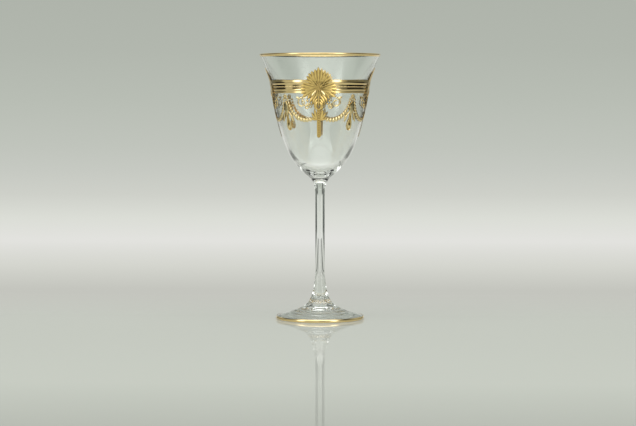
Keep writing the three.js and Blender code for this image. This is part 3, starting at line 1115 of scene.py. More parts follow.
@dataclass
class Frieze:
    """The gold courses round the waist: a rail, a row of beads on a flat ground, and a grooved rail."""

    wall: BowlWall
    palette: Palette
    strung: StrungPath
    top_z: float = 189.1
    upper_width: float = 3.6
    ground_width: float = 3.4
    lower_width: float = 1.4
    groove_width: float = 0.9
    fillet_width: float = 0.9
    gap: float = 0.1
    ground: float = 0.1
    crest: float = 0.5
    crown: float = 0.14  # how far a rail bulges, as a share of its width
    bead: float = 1.1
    bead_rise: float = 0.2
    bead_pitch: float = 1.3
    bead_sink: float = 0.02
    crease: float = 40.0  # edges that bend by more degrees are sharp
    points_across: int = 15
    facets: int = 256

    def course(self, points: Sequence[tuple[float, float]]) -> MeshBuffer:
        """Turns a course.

        Args:
            points: Height and distance off its back along its face, in mm, from the bottom to the top.

        Returns:
            A buffer with the closed shell in it.
        """
        z = np.array([p[0] for p in points])
        off = np.array([p[1] for p in points]) + self.gap
        face = np.stack(self.wall.stand_off(z, off), axis=1)
        seat = np.stack(self.wall.stand_off(z[::-1], np.full(z.shape, self.gap)), axis=1)
        buffer = MeshBuffer()
        spans = [0] * (len(face) - 1) + [1] * (len(seat) + 1)
        buffer.turn(np.concatenate([face, seat]), self.facets, spans, closed=True)
        return buffer

    def crowned(self, bottom: float, top: float) -> list[tuple[float, float]]:
        """Draws the section of a crowned rail.

        Args:
            bottom: Its lowest height, in mm.
            top: Its highest, in mm.

        Returns:
            Points across it, as height and distance off its back.
        """
        v = np.linspace(-1.0, 1.0, self.points_across)
        rise = min(self.crest - self.ground, self.crown * (top - bottom))
        lift = self.ground + rise * (1 - v**2)
        return [(bottom + (top - bottom) * (a + 1) / 2, float(b)) for a, b in zip(v, lift)]

    def build(self) -> None:
        """Builds the three courses from the top down."""
        gold = [self.palette.burnished, self.palette.reverse]
        upper_z = self.top_z - self.upper_width
        rail = self.course(self.crowned(upper_z, self.top_z))
        upper = rail.build("gilt_upper_rail", gold, self.crease)
        finish_piece(upper, "frieze_upper_rail")
        ground_z = upper_z - self.ground_width
        ground = self.course([(ground_z, self.ground), (upper_z, self.ground)])
        course = ground.build("gilt_bead_course", gold, self.crease)
        join(course, [self.beads((upper_z + ground_z) / 2)])
        finish_piece(course, "frieze_bead_course")
        rail_z = ground_z - self.lower_width
        fillet_top = rail_z - self.groove_width
        fillet_z = fillet_top - self.fillet_width
        profile = self.crowned(fillet_z, fillet_top) + self.crowned(rail_z, ground_z)
        lower = self.course(profile).build("gilt_lower_rail", gold, self.crease)
        finish_piece(lower, "frieze_lower_rail")

    def beads(self, middle_z: float) -> bpy.types.Object:
        """Strings a row of beads round the ground.

        Args:
            middle_z: Height of the row, in mm.

        Returns:
            The row.
        """
        buffer = MeshBuffer()
        buffer.dome(
            flat_place, (0.0, 0.0), self.bead / 2, self.bead_rise, seat=0.0, front=0, back=0, around=10,
            rings=3,
        )
        form = buffer.build("bead_form", [self.palette.burnished])
        radius = self.wall.radius_at(middle_z)
        count = round(2 * math.pi * radius / self.bead_pitch)
        place = self.wall.placer(FRONT)
        x = np.arange(count) * 2 * math.pi / count * radius
        heights = np.full(count, middle_z)
        at = place(x, heights, np.full(count, self.gap + self.ground - self.bead_sink))
        outward = place(x, heights, np.full(count, 1.0)) - place(x, heights, np.zeros(count))
        row = self.strung.string(
            "bead_row", at, outward, np.ones(count), form, count, self.palette.burnished, closed=True
        )
        bpy.data.objects.remove(form)
        return row


@dataclass
class Medallions:
    """Palmettes: tiers of pleated leaves fired over the frieze, with hanging leaves below."""

    wall: BowlWall
    palette: Palette
    centre_z: float = 183.4
    seat: float = 0.28
    lift: float = 0.1  # each tier sits this much higher than the one under it
    rise: float = 0.5
    eye: float = 0.04  # the pleats begin at this share of their reach
    full: float = 0.35  # and reach their full depth at this one
    point: float = 0.13  # how far the outline falls back between two tips, as a share
    roundness: float = 1.5  # power of that fall: over 1, the tips are rounder than the notches
    # Degrees from the top, and the reach of the lowest tier there
    outline_at: tuple[float, ...] = (0.0, 14.0, 30.0, 45.0, 58.0, 72.0, 90.0, 112.0, 126.0, 180.0)
    outline: tuple[float, ...] = (15.6, 13.8, 13.6, 12.8, 11.6, 13.4, 14.2, 14.7, 14.6, 14.6)
    # From the lowest up: how many leaves, reach as a share of the outline, and degrees to each side
    tiers: tuple[tuple[int, float, float], ...] = (
        (21, 1.0, 126.0),
        (19, 0.74, 138.0),
        (15, 0.48, 179.0),
    )
    tier_steps: int = 10
    folds: int = 4  # steps across one leaf of a tier
    edge: float = 0.3  # height at the rim, as a share of the rise
    body_from: float = 0.25  # the height follows this stretch of a half wave from eye to tip
    body_over: float = 0.6
    pleat: float = 0.6  # depth between two leaves, as a share of the height
    tone_eye: float = 0.72  # The relief's tone, which lays painted shade: its level at the eye, its gain to the tips, and the painted shade between two leaves
    tone_gain: float = 0.24
    valley_shade: float = 0.45
    # Pairs of hanging leaves: drop of the foot, length, bearing in degrees, and width
    hanging: tuple[tuple[float, float, float, float], ...] = (
        (1.5, 12.0, 132.0, 2.7),
        (3.0, 11.6, 143.0, 2.6),
        (5.0, 10.2, 151.0, 2.4),
        (7.5, 8.4, 157.0, 2.2),
        (10.0, 6.4, 162.0, 2.0),
    )
    hang_sink: float = 0.15  # the first pair sits this much lower than the tiers
    hang_lift: float = 0.05  # and each next one this much higher
    hang_bend: float = 0.7
    spine_from: float = 2.0
    spine_reach: float = 16.0
    spine_width: float = 2.0
    rib_from: float = 2.4
    rib_to: float = 9.2
    rib_width: float = 1.5
    rib_rise: float = 0.4
    rib_bearing: float = 142.0
    boss: float = 0.8
    berry: float = 0.8
    berry_rise: float = 0.64
    # Reach and bearing in degrees of the berries on one side
    berries: tuple[tuple[float, float], ...] = ((11.4, 136.0), (13.4, 141.0), (14.4, 152.0))

    def build(self) -> None:
        """Builds the four medallions."""
        for bay in range(BAYS):
            place = self.wall.placer(FRONT + bay * BAY_ANGLE)
            buffer = MeshBuffer()
            self.tail(buffer, place)
            for level, (count, share, half_angle) in enumerate(self.tiers):
                self.tier(buffer, place, count, share, half_angle, self.seat + self.lift * level)
            self.heart(buffer, place)
            piece = buffer.build(f"gilt_medallion_{bay + 1}", self.palette.gilding())
            finish_piece(piece, f"medallion_{bay + 1}")

    def at(self, reach: float, degrees: float, drop: float = 0.0) -> tuple[float, float]:
        """The flat place at a distance from a point below the centre, clockwise from the top."""
        angle = math.radians(degrees)
        return reach * math.sin(angle), self.centre_z - drop + reach * math.cos(angle)

    def tier(
        self, buffer: MeshBuffer, place: Place, count: int, share: float, half_angle: float, seat: float
    ) -> None:
        """Adds one tier: leaves that run out from the centre, each folded along its middle.

        Args:
            buffer: Takes the shell.
            place: Puts flat points on the glass.
            count: How many leaves it has.
            share: Its reach as a share of the outline.
            half_angle: How far it goes to each side of the top, in degrees.
            seat: Distance of its back off the glass, in mm.
        """
        columns = count * self.folds + 1
        turn = np.linspace(-half_angle, half_angle, columns)
        phase = np.arange(columns) / self.folds % 1.0
        ridge = 1 - np.abs(2 * phase - 1)
        outline = np.interp(np.abs(turn), self.outline_at, self.outline)
        reach = share * outline * (1 - self.point * (1 - ridge) ** self.roundness)
        s = np.linspace(self.eye, 1.0, self.tier_steps + 1)
        angle = np.radians(turn)
        flat = np.stack(
            [
                s[:, None] * (reach * np.sin(angle))[None, :],
                self.centre_z + s[:, None] * (reach * np.cos(angle))[None, :],
            ],
            axis=2,
        )
        body = np.sin(np.pi * (self.body_from + self.body_over * s))[:, None]
        valley = (1 - ridge)[None, :] * np.minimum(1, s / self.full)[:, None]
        crest = self.rise * (self.edge + (1 - self.edge) * body * (1 - self.pleat * valley))
        # Painted shade: the tone is lower at the eye and in the valleys between the leaves
        tone = (self.tone_eye + self.tone_gain * s)[:, None] * (1 - self.valley_shade * valley)
        buffer.relief(place, flat, crest, tone, seat, Face.RAISED.value, Face.REVERSE.value)

    def tail(self, buffer: MeshBuffer, place: Place) -> None:
        """Adds the leaves that hang below, in pairs along a middle leaf.

        Args:
            buffer: Takes the shells.
            place: Puts flat points on the glass.
        """
        for level, (drop, length, bearing, width) in enumerate(self.hanging):
            seat = self.seat - self.hang_sink + self.hang_lift * level
            for side in (-1, 1):
                leaf(
                    buffer, place, self.at(0, 0, drop), self.at(length, side * bearing, drop), width,
                    self.rise, seat, widest=0.6, bend=side * self.hang_bend, steps=16,
                    form=LeafForm.PLEATED,
                )
        leaf(
            buffer, place, self.at(self.spine_from, 180), self.at(self.spine_reach, 180),
            self.spine_width, self.rise, self.seat + self.lift, widest=0.5, steps=24,
            form=LeafForm.PLEATED,
        )

    def heart(self, buffer: MeshBuffer, place: Place) -> None:
        """Adds the burnished ribs, the berries among the hanging leaves, and the boss.

        Args:
            buffer: Takes the shells.
            place: Puts flat points on the glass.
        """
        top = self.seat + self.lift * len(self.tiers) + self.rise / 2
        for side in (-1, 1):
            angle = side * self.rib_bearing
            leaf(
                buffer, place, self.at(self.rib_from, angle), self.at(self.rib_to, angle), self.rib_width,
                self.rib_rise, top, widest=0.5, face=Face.BURNISHED, form=LeafForm.PLEATED,
            )
            for reach, degrees in self.berries:
                buffer.dome(
                    place, self.at(reach, side * degrees), self.berry, self.berry_rise,
                    self.seat + self.lift, Face.RAISED.value, Face.REVERSE.value,
                )
        buffer.dome(
            place, self.at(0, 0), self.boss, self.rise / 4, top, Face.RAISED.value, Face.REVERSE.value
        )


@dataclass
class Pendants:
    """What hangs: a beaded bar under each medallion, and a knot with a bud between the bays."""

    wall: BowlWall
    palette: Palette
    strung: StrungPath
    seat: float = 0.1
    bar_top: float = 167.4
    bar_length: float = 23.0
    bar_width: float = 2.9
    bar_rise: float = 0.22
    bar_steps: int = 40
    bar_crowding: float = 1.6  # power that draws the steps together in the bar's round end
    bar_least: float = 0.03  # how blunt that end is
    bar_ground: float = 0.5  # height between its raised edges, as a share of its rise
    bar_edge_at: float = 0.72  # the edges' place and width, as shares of half its width
    bar_edge: float = 0.2
    bar_fall: float = 0.25  # how far the height falls at its rim, as a share, and the fall's power
    bar_fall_power: int = 8
    bar_bead: float = 1.15
    bar_beads: int = 12
    bead_stretch: float = 0.7
    bead_sink: float = 0.6  # the beads sit at this share of the bar's height
    bead_first: float = 1.2  # the first and the last are this far inside the bar's ends
    bead_last: float = 1.5
    bead_path: int = 24  # points of the path that strings them
    spray_z: float = 159.6
    spray_root: tuple[float, float] = (0.9, -1.4)  # x, and height from spray_z
    # Leaves of a spray: x and height of the tip, and width
    spray: tuple[tuple[float, float, float], ...] = ((3.0, 7.6, 2.2), (5.4, 4.6, 2.2), (6.0, 0.6, 2.0))
    spray_rise: float = 0.4
    spray_lift: float = 0.2
    spray_bend: float = 0.5
    calyx_root: tuple[float, float] = (0.5, -1.6)  # x, and height from the bar's top
    calyx_tip: tuple[float, float] = (2.9, 3.4)
    calyx_width: float = 2.6
    knot_z: float = 176.0
    knot_radius: float = 2.2
    knot_leaves: int = 5
    knot_eye: float = 0.15  # its leaves begin at this share of its radius
    knot_leaf: float = 2.0
    knot_rise: float = 0.42
    knot_boss: float = 0.75
    boss_rise: float = 0.3
    boss_lift: float = 0.2
    bud_clear: float = 0.5  # between the knot and what hangs from it
    bud_length: float = 23.2
    bud_stem: float = 2.0
    bud_width: float = 5.3
    bud_rise: float = 0.4
    bud_steps: int = 48
    bud_crowding: float = 1.8  # as for the bar
    bud_least: float = 0.02
    bud_from: float = 0.5  # it widens from here, over this much of its length
    bud_over: float = 0.36
    bud_ground: float = 0.3  # height inside its outline, as a share of its rise
    outline_at: float = 0.78  # the outline's place and width, as shares of half its width
    outline: float = 0.16
    drop_at: float = 0.86  # the raised middle's place along, half length and half width, as shares
    drop_length: float = 0.09
    drop_width: float = 0.5
    sheaf_length: float = 11.6
    sheaf_width: float = 6.0
    sheaf_lift: float = 0.2
    ribbon_root: tuple[float, float] = (0.7, 166.0)
    ribbon_tip: tuple[float, float] = (5.6, 156.6)
    ribbon_width: float = 2.3
    ribbon_lift: float = 0.1
    ribbon_bend: float = 0.8

    def build(self) -> None:
        """Builds all four bays."""
        buffer = MeshBuffer()
        buffer.dome(
            flat_place, (0.0, 0.0), self.bar_bead, self.bar_rise, seat=0.0, front=0, back=0,
            stretch=self.bead_stretch, around=10, rings=3,
        )
        form = buffer.build("bar_bead_form", [self.palette.raised])
        for bay in range(BAYS):
            middle = FRONT + bay * BAY_ANGLE
            self.bar(bay + 1, self.wall.placer(middle), form)
            end = self.wall.placer(middle + BAY_ANGLE / 2)
            self.knot(bay + 1, end)
            self.bud(bay + 1, end)
        bpy.data.objects.remove(form)

    def bar(self, number: int, place: Place, form: bpy.types.Object) -> None:
        """Builds a centre pendant: a bar with raised edges and beads between, and a spray at its top.

        Args:
            number: Which bay it is in.
            place: Puts flat points on the glass there.
            form: The bead.
        """
        share = 1 - (1 - np.linspace(0, 1, self.bar_steps + 1)) ** self.bar_crowding
        z = self.bar_top - self.bar_length * share
        spine = np.stack([np.zeros(z.shape), z], axis=1)
        over = self.bar_width / 2
        into = np.clip((self.bar_top - self.bar_length + over - z) / over, 0, 1)
        half = over * np.sqrt(np.maximum(self.bar_least, 1 - into**2))
        v = np.abs(np.linspace(-1, 1, 13))
        edges = np.exp(-(((v - self.bar_edge_at) / self.bar_edge) ** 2))
        section = self.bar_ground + (1 - self.bar_ground) * edges - self.bar_fall * v**self.bar_fall_power
        crest = np.tile(self.bar_rise * section, (len(z), 1))
        buffer = MeshBuffer()
        buffer.strip(place, spine, half, crest, self.seat, Face.RAISED.value, Face.REVERSE.value)
        leaves = [(self.spray_z, self.spray_root, tip, width) for *tip, width in self.spray]
        leaves.append((self.bar_top, self.calyx_root, self.calyx_tip, self.calyx_width))
        for side in (-1, 1):
            for level, root, tip, width in leaves:
                leaf(
                    buffer, place, (side * root[0], level + root[1]), (side * tip[0], level + tip[1]),
                    width, self.spray_rise, self.seat + self.spray_lift, bend=-side * self.spray_bend,
                    steps=14,
                )
        piece = buffer.build(f"gilt_centre_pendant_{number}", self.palette.gilding())
        first = self.bar_top - self.bead_first
        last = self.bar_top - self.bar_length + self.bead_last
        bead_z = np.linspace(first, last, self.bead_path)
        zero = np.zeros(bead_z.shape)
        on_bar = place(zero, bead_z, zero + self.seat + self.bar_rise * self.bead_sink)
        outward = place(zero, bead_z, zero + 1.0) - place(zero, bead_z, zero)
        beads = self.strung.string(
            f"bar_beads_{number}", on_bar, outward, np.ones(bead_z.shape), form, self.bar_beads,
            self.palette.raised,
        )
        join(piece, [beads])
        finish_piece(piece, f"centre_pendant_{number}")

    def knot(self, number: int, place: Place) -> None:
        """Builds a knot: a small rosette with a boss.

        Args:
            number: Which bay it ends.
            place: Puts flat points on the glass there.
        """
        buffer = MeshBuffer()
        middle = np.array([0.0, self.knot_z])
        for k in range(self.knot_leaves):
            angle = 2 * math.pi * k / self.knot_leaves
            reach = self.knot_radius * np.array([math.sin(angle), math.cos(angle)])
            leaf(
                buffer, place, middle + self.knot_eye * reach, middle + reach, self.knot_leaf,
                self.knot_rise, self.seat, widest=0.6, steps=12, face=Face.PAINTED_LIGHT_GOLD,
            )
        buffer.dome(
            place, (0, self.knot_z), self.knot_boss, self.boss_rise, self.seat + self.boss_lift,
            Face.BURNISHED.value, Face.REVERSE.value,
        )
        piece = buffer.build(f"gilt_knot_{number}", self.palette.gilding())
        finish_piece(piece, f"knot_{number}")

    def bud(self, number: int, place: Place) -> None:
        """Builds a knot pendant: a sheaf of leaf, two ribbon ends, and a drop with a raised outline.

        Args:
            number: Which bay it ends.
            place: Puts flat points on the glass there.
        """
        s = 1 - (1 - np.linspace(0, 1, self.bud_steps + 1)) ** self.bud_crowding
        top = self.knot_z - self.knot_radius - self.bud_clear
        spine = np.stack([np.zeros(s.shape), top - self.bud_length * s], axis=1)
        over = self.bud_width / 2 / self.bud_length
        into = np.clip((s - 1 + over) / over, 0, 1)
        swell = np.clip((s - self.bud_from) / self.bud_over, 0, 1)
        width = self.bud_stem + (self.bud_width - self.bud_stem) * swell**2 * (3 - 2 * swell)
        half = width / 2 * np.sqrt(np.maximum(self.bud_least, 1 - into**2))
        v = np.linspace(-1, 1, 17)
        outline = np.exp(-(((np.abs(v) - self.outline_at) / self.outline) ** 2))
        drop_across = np.sqrt(np.clip(1 - (v / self.drop_width) ** 2, 0, 1))
        drop_along = np.clip(1 - ((s - self.drop_at) / self.drop_length) ** 2, 0, 1)
        raised = np.maximum(outline[None, :], drop_across[None, :] * drop_along[:, None])
        crest = self.bud_rise * (self.bud_ground + (1 - self.bud_ground) * raised)
        buffer = MeshBuffer()
        buffer.strip(place, spine, half, crest, self.seat, Face.PAINTED_LIGHT_GOLD.value, Face.REVERSE.value)
        leaf(
            buffer, place, (0, top), (0, top - self.sheaf_length), self.sheaf_width, self.bud_rise,
            self.seat + self.sheaf_lift, widest=0.5, lobes=3, steps=24, face=Face.PAINTED_LIGHT_GOLD,
        )
        for side in (-1, 1):
            leaf(
                buffer, place, (side * self.ribbon_root[0], self.ribbon_root[1]),
                (side * self.ribbon_tip[0], self.ribbon_tip[1]), self.ribbon_width, self.bud_rise,
                self.seat + self.ribbon_lift, widest=0.7, bend=side * self.ribbon_bend, face=Face.PAINTED_LIGHT_GOLD,
            )
        piece = buffer.build(f"gilt_knot_pendant_{number}", self.palette.gilding())
        finish_piece(piece, f"knot_pendant_{number}")


@dataclass
class Festoons:
    """Half festoons of husks, and the scrolls beside the medallions."""

    wall: BowlWall
    palette: Palette
    strung: StrungPath
    seat: float = 0.1
    inner_x: float = 1.95
    inner_z: float = 160.1
    outer_z: float = 173.8
    outer_clear: float = 2.45  # from the end of the bay
    sag: float = 5.0
    path_steps: int = 40
    husks: int = 14
    least: float = 0.62  # size of the husks at both ends, as a share
    husk: float = 3.2
    husk_width: float = 1.9
    husk_rise: float = 0.35
    husk_root: tuple[float, float] = (-0.55, 0.3)  # along as a share of the husk, and across
    husk_tip: tuple[float, float] = (0.35, 1.5)
    husk_bend: float = 0.2
    link: float = 1.1
    link_rise: float = 0.55
    link_stretch: float = 1.4
    scroll_x: float = 13.2
    scroll_z: float = 171.6
    scroll_radius: float = 4.0
    scroll_turns: float = 0.95
    scroll_closing: float = 0.62  # how much of its radius a curl loses up to its inner end
    scroll_width: float = 1.2
    scroll_tip: float = 0.8
    scroll_rise: float = 0.38
    curl_x: float = 9.4
    curl_z: float = 168.4
    curl_radius: float = 1.9
    curl_turns: float = 1.0
    curl_width: float = 1.2
    curl_steps: int = 40
    curl_edge: float = 0.25  # height at the rim, as a share of the rise
    sprig_root: tuple[float, float] = (1.4, 3.4)  # from the scroll's middle
    sprig_tip: tuple[float, float] = (5.0, 4.6)
    sprig_width: float = 1.8
    sprig_bend: float = 0.5
    berry: float = 0.9
    berry_rise: float = 0.45

    def build(self) -> None:
        """Builds both halves of every bay."""
        form = self.husk_form()
        for bay in range(BAYS):
            place = self.wall.placer(FRONT + bay * BAY_ANGLE)
            for half, side in enumerate((1, -1)):
                number = 2 * bay + half + 1
                self.swag(number, side, place, form)
                self.scroll(number, side, place)
        bpy.data.objects.remove(form)

    def husk_form(self) -> bpy.types.Object:
        """Draws one husk: two leaflets with an oval link between them.

        Returns:
            The husk, for stringing.
        """
        buffer = MeshBuffer()
        root, tip = self.husk_root, self.husk_tip
        for side in (-1, 1):
            leaf(
                buffer, flat_place, (root[0] * self.husk, root[1] * side),
                (tip[0] * self.husk, tip[1] * side), self.husk_width, self.husk_rise, 0.0,
                bend=-self.husk_bend * side, steps=6, across=5,
            )
        buffer.dome(
            flat_place, (0.0, 0.0), self.link, self.link_rise, seat=0.0, front=0, back=0,
            stretch=self.link_stretch, around=10, rings=3,
        )
        return buffer.build("husk_form", [self.palette.painted_light_gold, self.palette.painted_light_gold])

    def swag(self, number: int, side: int, place: Place, form: bpy.types.Object) -> None:
        """Strings half a festoon, from beside the centre pendant up to beside the knot.

        Args:
            number: Which half it is.
            side: 1 to the right and -1 to the left.
            place: Puts flat points on the glass in its bay.
            form: The husk.
        """
        outer_x = BAY_ANGLE / 2 * self.wall.radius_at(self.outer_z) - self.outer_clear
        third = (outer_x - self.inner_x) / 3
        path = bezier(
            [
                [side * self.inner_x, self.inner_z],
                [side * (self.inner_x + third), self.inner_z - self.sag],
                [side * (outer_x - third / 2), self.inner_z - self.sag / 3],
                [side * outer_x, self.outer_z],
            ],
            self.path_steps,
        )
        share = np.linspace(0, 1, len(path))
        fullness = self.least + (1 - self.least) * np.sin(np.pi * share)
        zero = np.zeros(len(path))
        at = place(path[:, 0], path[:, 1], zero + self.seat)
        outward = place(path[:, 0], path[:, 1], zero + 1.0) - place(path[:, 0], path[:, 1], zero)
        piece = self.strung.string(
            f"gilt_swag_{number}", at, outward, fullness, form, self.husks, self.palette.painted_light_gold
        )
        finish_piece(piece, f"swag_{number}")

    def scroll(self, number: int, side: int, place: Place) -> None:
        """Builds a scroll that curls inwards to a berry, a smaller one off its back, and a sprig.

        Args:
            number: Which half it is in.
            side: 1 to the right and -1 to the left.
            place: Puts flat points on the glass in its bay.
        """
        buffer = MeshBuffer()
        self.curl(
            buffer, place, (side * self.scroll_x, self.scroll_z), self.scroll_radius, side,
            self.scroll_turns, self.scroll_width,
        )
        self.curl(
            buffer, place, (side * self.curl_x, self.curl_z), self.curl_radius, -side, self.curl_turns,
            self.curl_width,
        )
        root, tip = self.sprig_root, self.sprig_tip
        leaf(
            buffer, place, (side * (self.scroll_x + root[0]), self.scroll_z + root[1]),
            (side * (self.scroll_x + tip[0]), self.scroll_z + tip[1]), self.sprig_width,
            self.scroll_rise, self.seat, bend=-side * self.sprig_bend, steps=12, across=7,
            face=Face.PAINTED_LIGHT_GOLD,
        )
        piece = buffer.build(f"gilt_scroll_{number}", self.palette.gilding())
        finish_piece(piece, f"scroll_{number}")

    def curl(
        self,
        buffer: MeshBuffer,
        place: Place,
        centre: tuple[float, float],
        radius: float,
        side: int,
        turns: float,
        width: float,
    ) -> None:
        """Adds one curl, from its outer end at the top to the berry at its inner end.

        Args:
            buffer: Takes the shells.
            place: Puts flat points on the glass.
            centre: Its flat x and z, in mm.
            radius: Its outer radius, in mm.
            side: 1 if it starts to the right and -1 if to the left.
            turns: How many turns it makes.
            width: Its width at the outer end, in mm.
        """
        share = np.linspace(0, 1, self.curl_steps + 1)
        angle = math.pi / 2 - side * 2 * math.pi * turns * share
        reach = radius * (1 - self.scroll_closing * share)
        spine = np.stack([centre[0] + reach * np.cos(angle), centre[1] + reach * np.sin(angle)], axis=1)
        half = (width + (self.scroll_tip - width) * share) / 2
        v = np.linspace(-1, 1, 7)
        section = self.curl_edge + (1 - self.curl_edge) * (1 - v**2)
        crest = np.tile(self.scroll_rise * section, (len(share), 1))
        buffer.strip(place, spine, half, crest, self.seat, Face.PAINTED_LIGHT_GOLD.value, Face.REVERSE.value)
        buffer.dome(
            place, spine[-1], self.berry, self.berry_rise, self.seat, Face.PAINTED_LIGHT_GOLD.value, Face.REVERSE.value
        )


# Studio


@dataclass(frozen=True)
class Softbox:
    """A lamp behind a diffuser: white in the middle, and softer towards its edges."""

    name: str
    bearing: float  # degrees from the camera's side, to the right
    distance: float
    width: float
    height: float
    middle_z: float
    watts: float
    aim_z: float
    fade: tuple[float, float, float]  # how far in from its sides, foot and head it grows to full, as shares

    def build(self) -> None:
        """Sets the lamp up, facing the glass."""
        data = bpy.data.lights.new(self.name, "AREA")
        data.shape = "RECTANGLE"
        data.size, data.size_y = self.width, self.height
        data.energy = self.watts
        data.use_nodes = True
        self.soften(data.node_tree)
        lamp = bpy.data.objects.new(self.name, data)
        angle = math.radians(self.bearing)
        lamp.location = (self.distance * math.sin(angle), -self.distance * math.cos(angle), self.middle_z)
        aim = Vector((0, 0, self.aim_z))
        lamp.rotation_euler = (aim - lamp.location).to_track_quat("-Z", "Y").to_euler()
        bpy.context.scene.collection.objects.link(lamp)

    def soften(self, tree: bpy.types.NodeTree) -> None:
        """Lets the front fade out towards its edges.

        Args:
            tree: The lamp's own tree.
        """
        front = add_node(tree, "ShaderNodeNewGeometry")
        parts = add_node(tree, "ShaderNodeSeparateXYZ", inputs={"Vector": front.outputs["Parametric"]})
        sides, foot, head = self.fade
        whole = None
        for axis, low, high in (("X", sides, sides), ("Y", foot, head)):
            place = parts.outputs[axis]
            other = add_node(tree, "ShaderNodeMath", {"operation": "SUBTRACT"}, {0: 1.0, 1: place})
            for inwards, fade in ((place, low), (other.outputs["Value"], high)):
                level = add_node(
                    tree,
                    "ShaderNodeMapRange",
                    {"interpolation_type": "SMOOTHSTEP"},
                    {"Value": inwards, "From Min": 0.0, "From Max": fade},
                ).outputs["Result"]
                if whole is not None:
                    level = add_node(
                        tree, "ShaderNodeMath", {"operation": "MULTIPLY"}, {0: whole, 1: level}
                    ).outputs["Value"]
                whole = level
        tree.links.new(whole, tree.nodes["Emission"].inputs["Strength"])


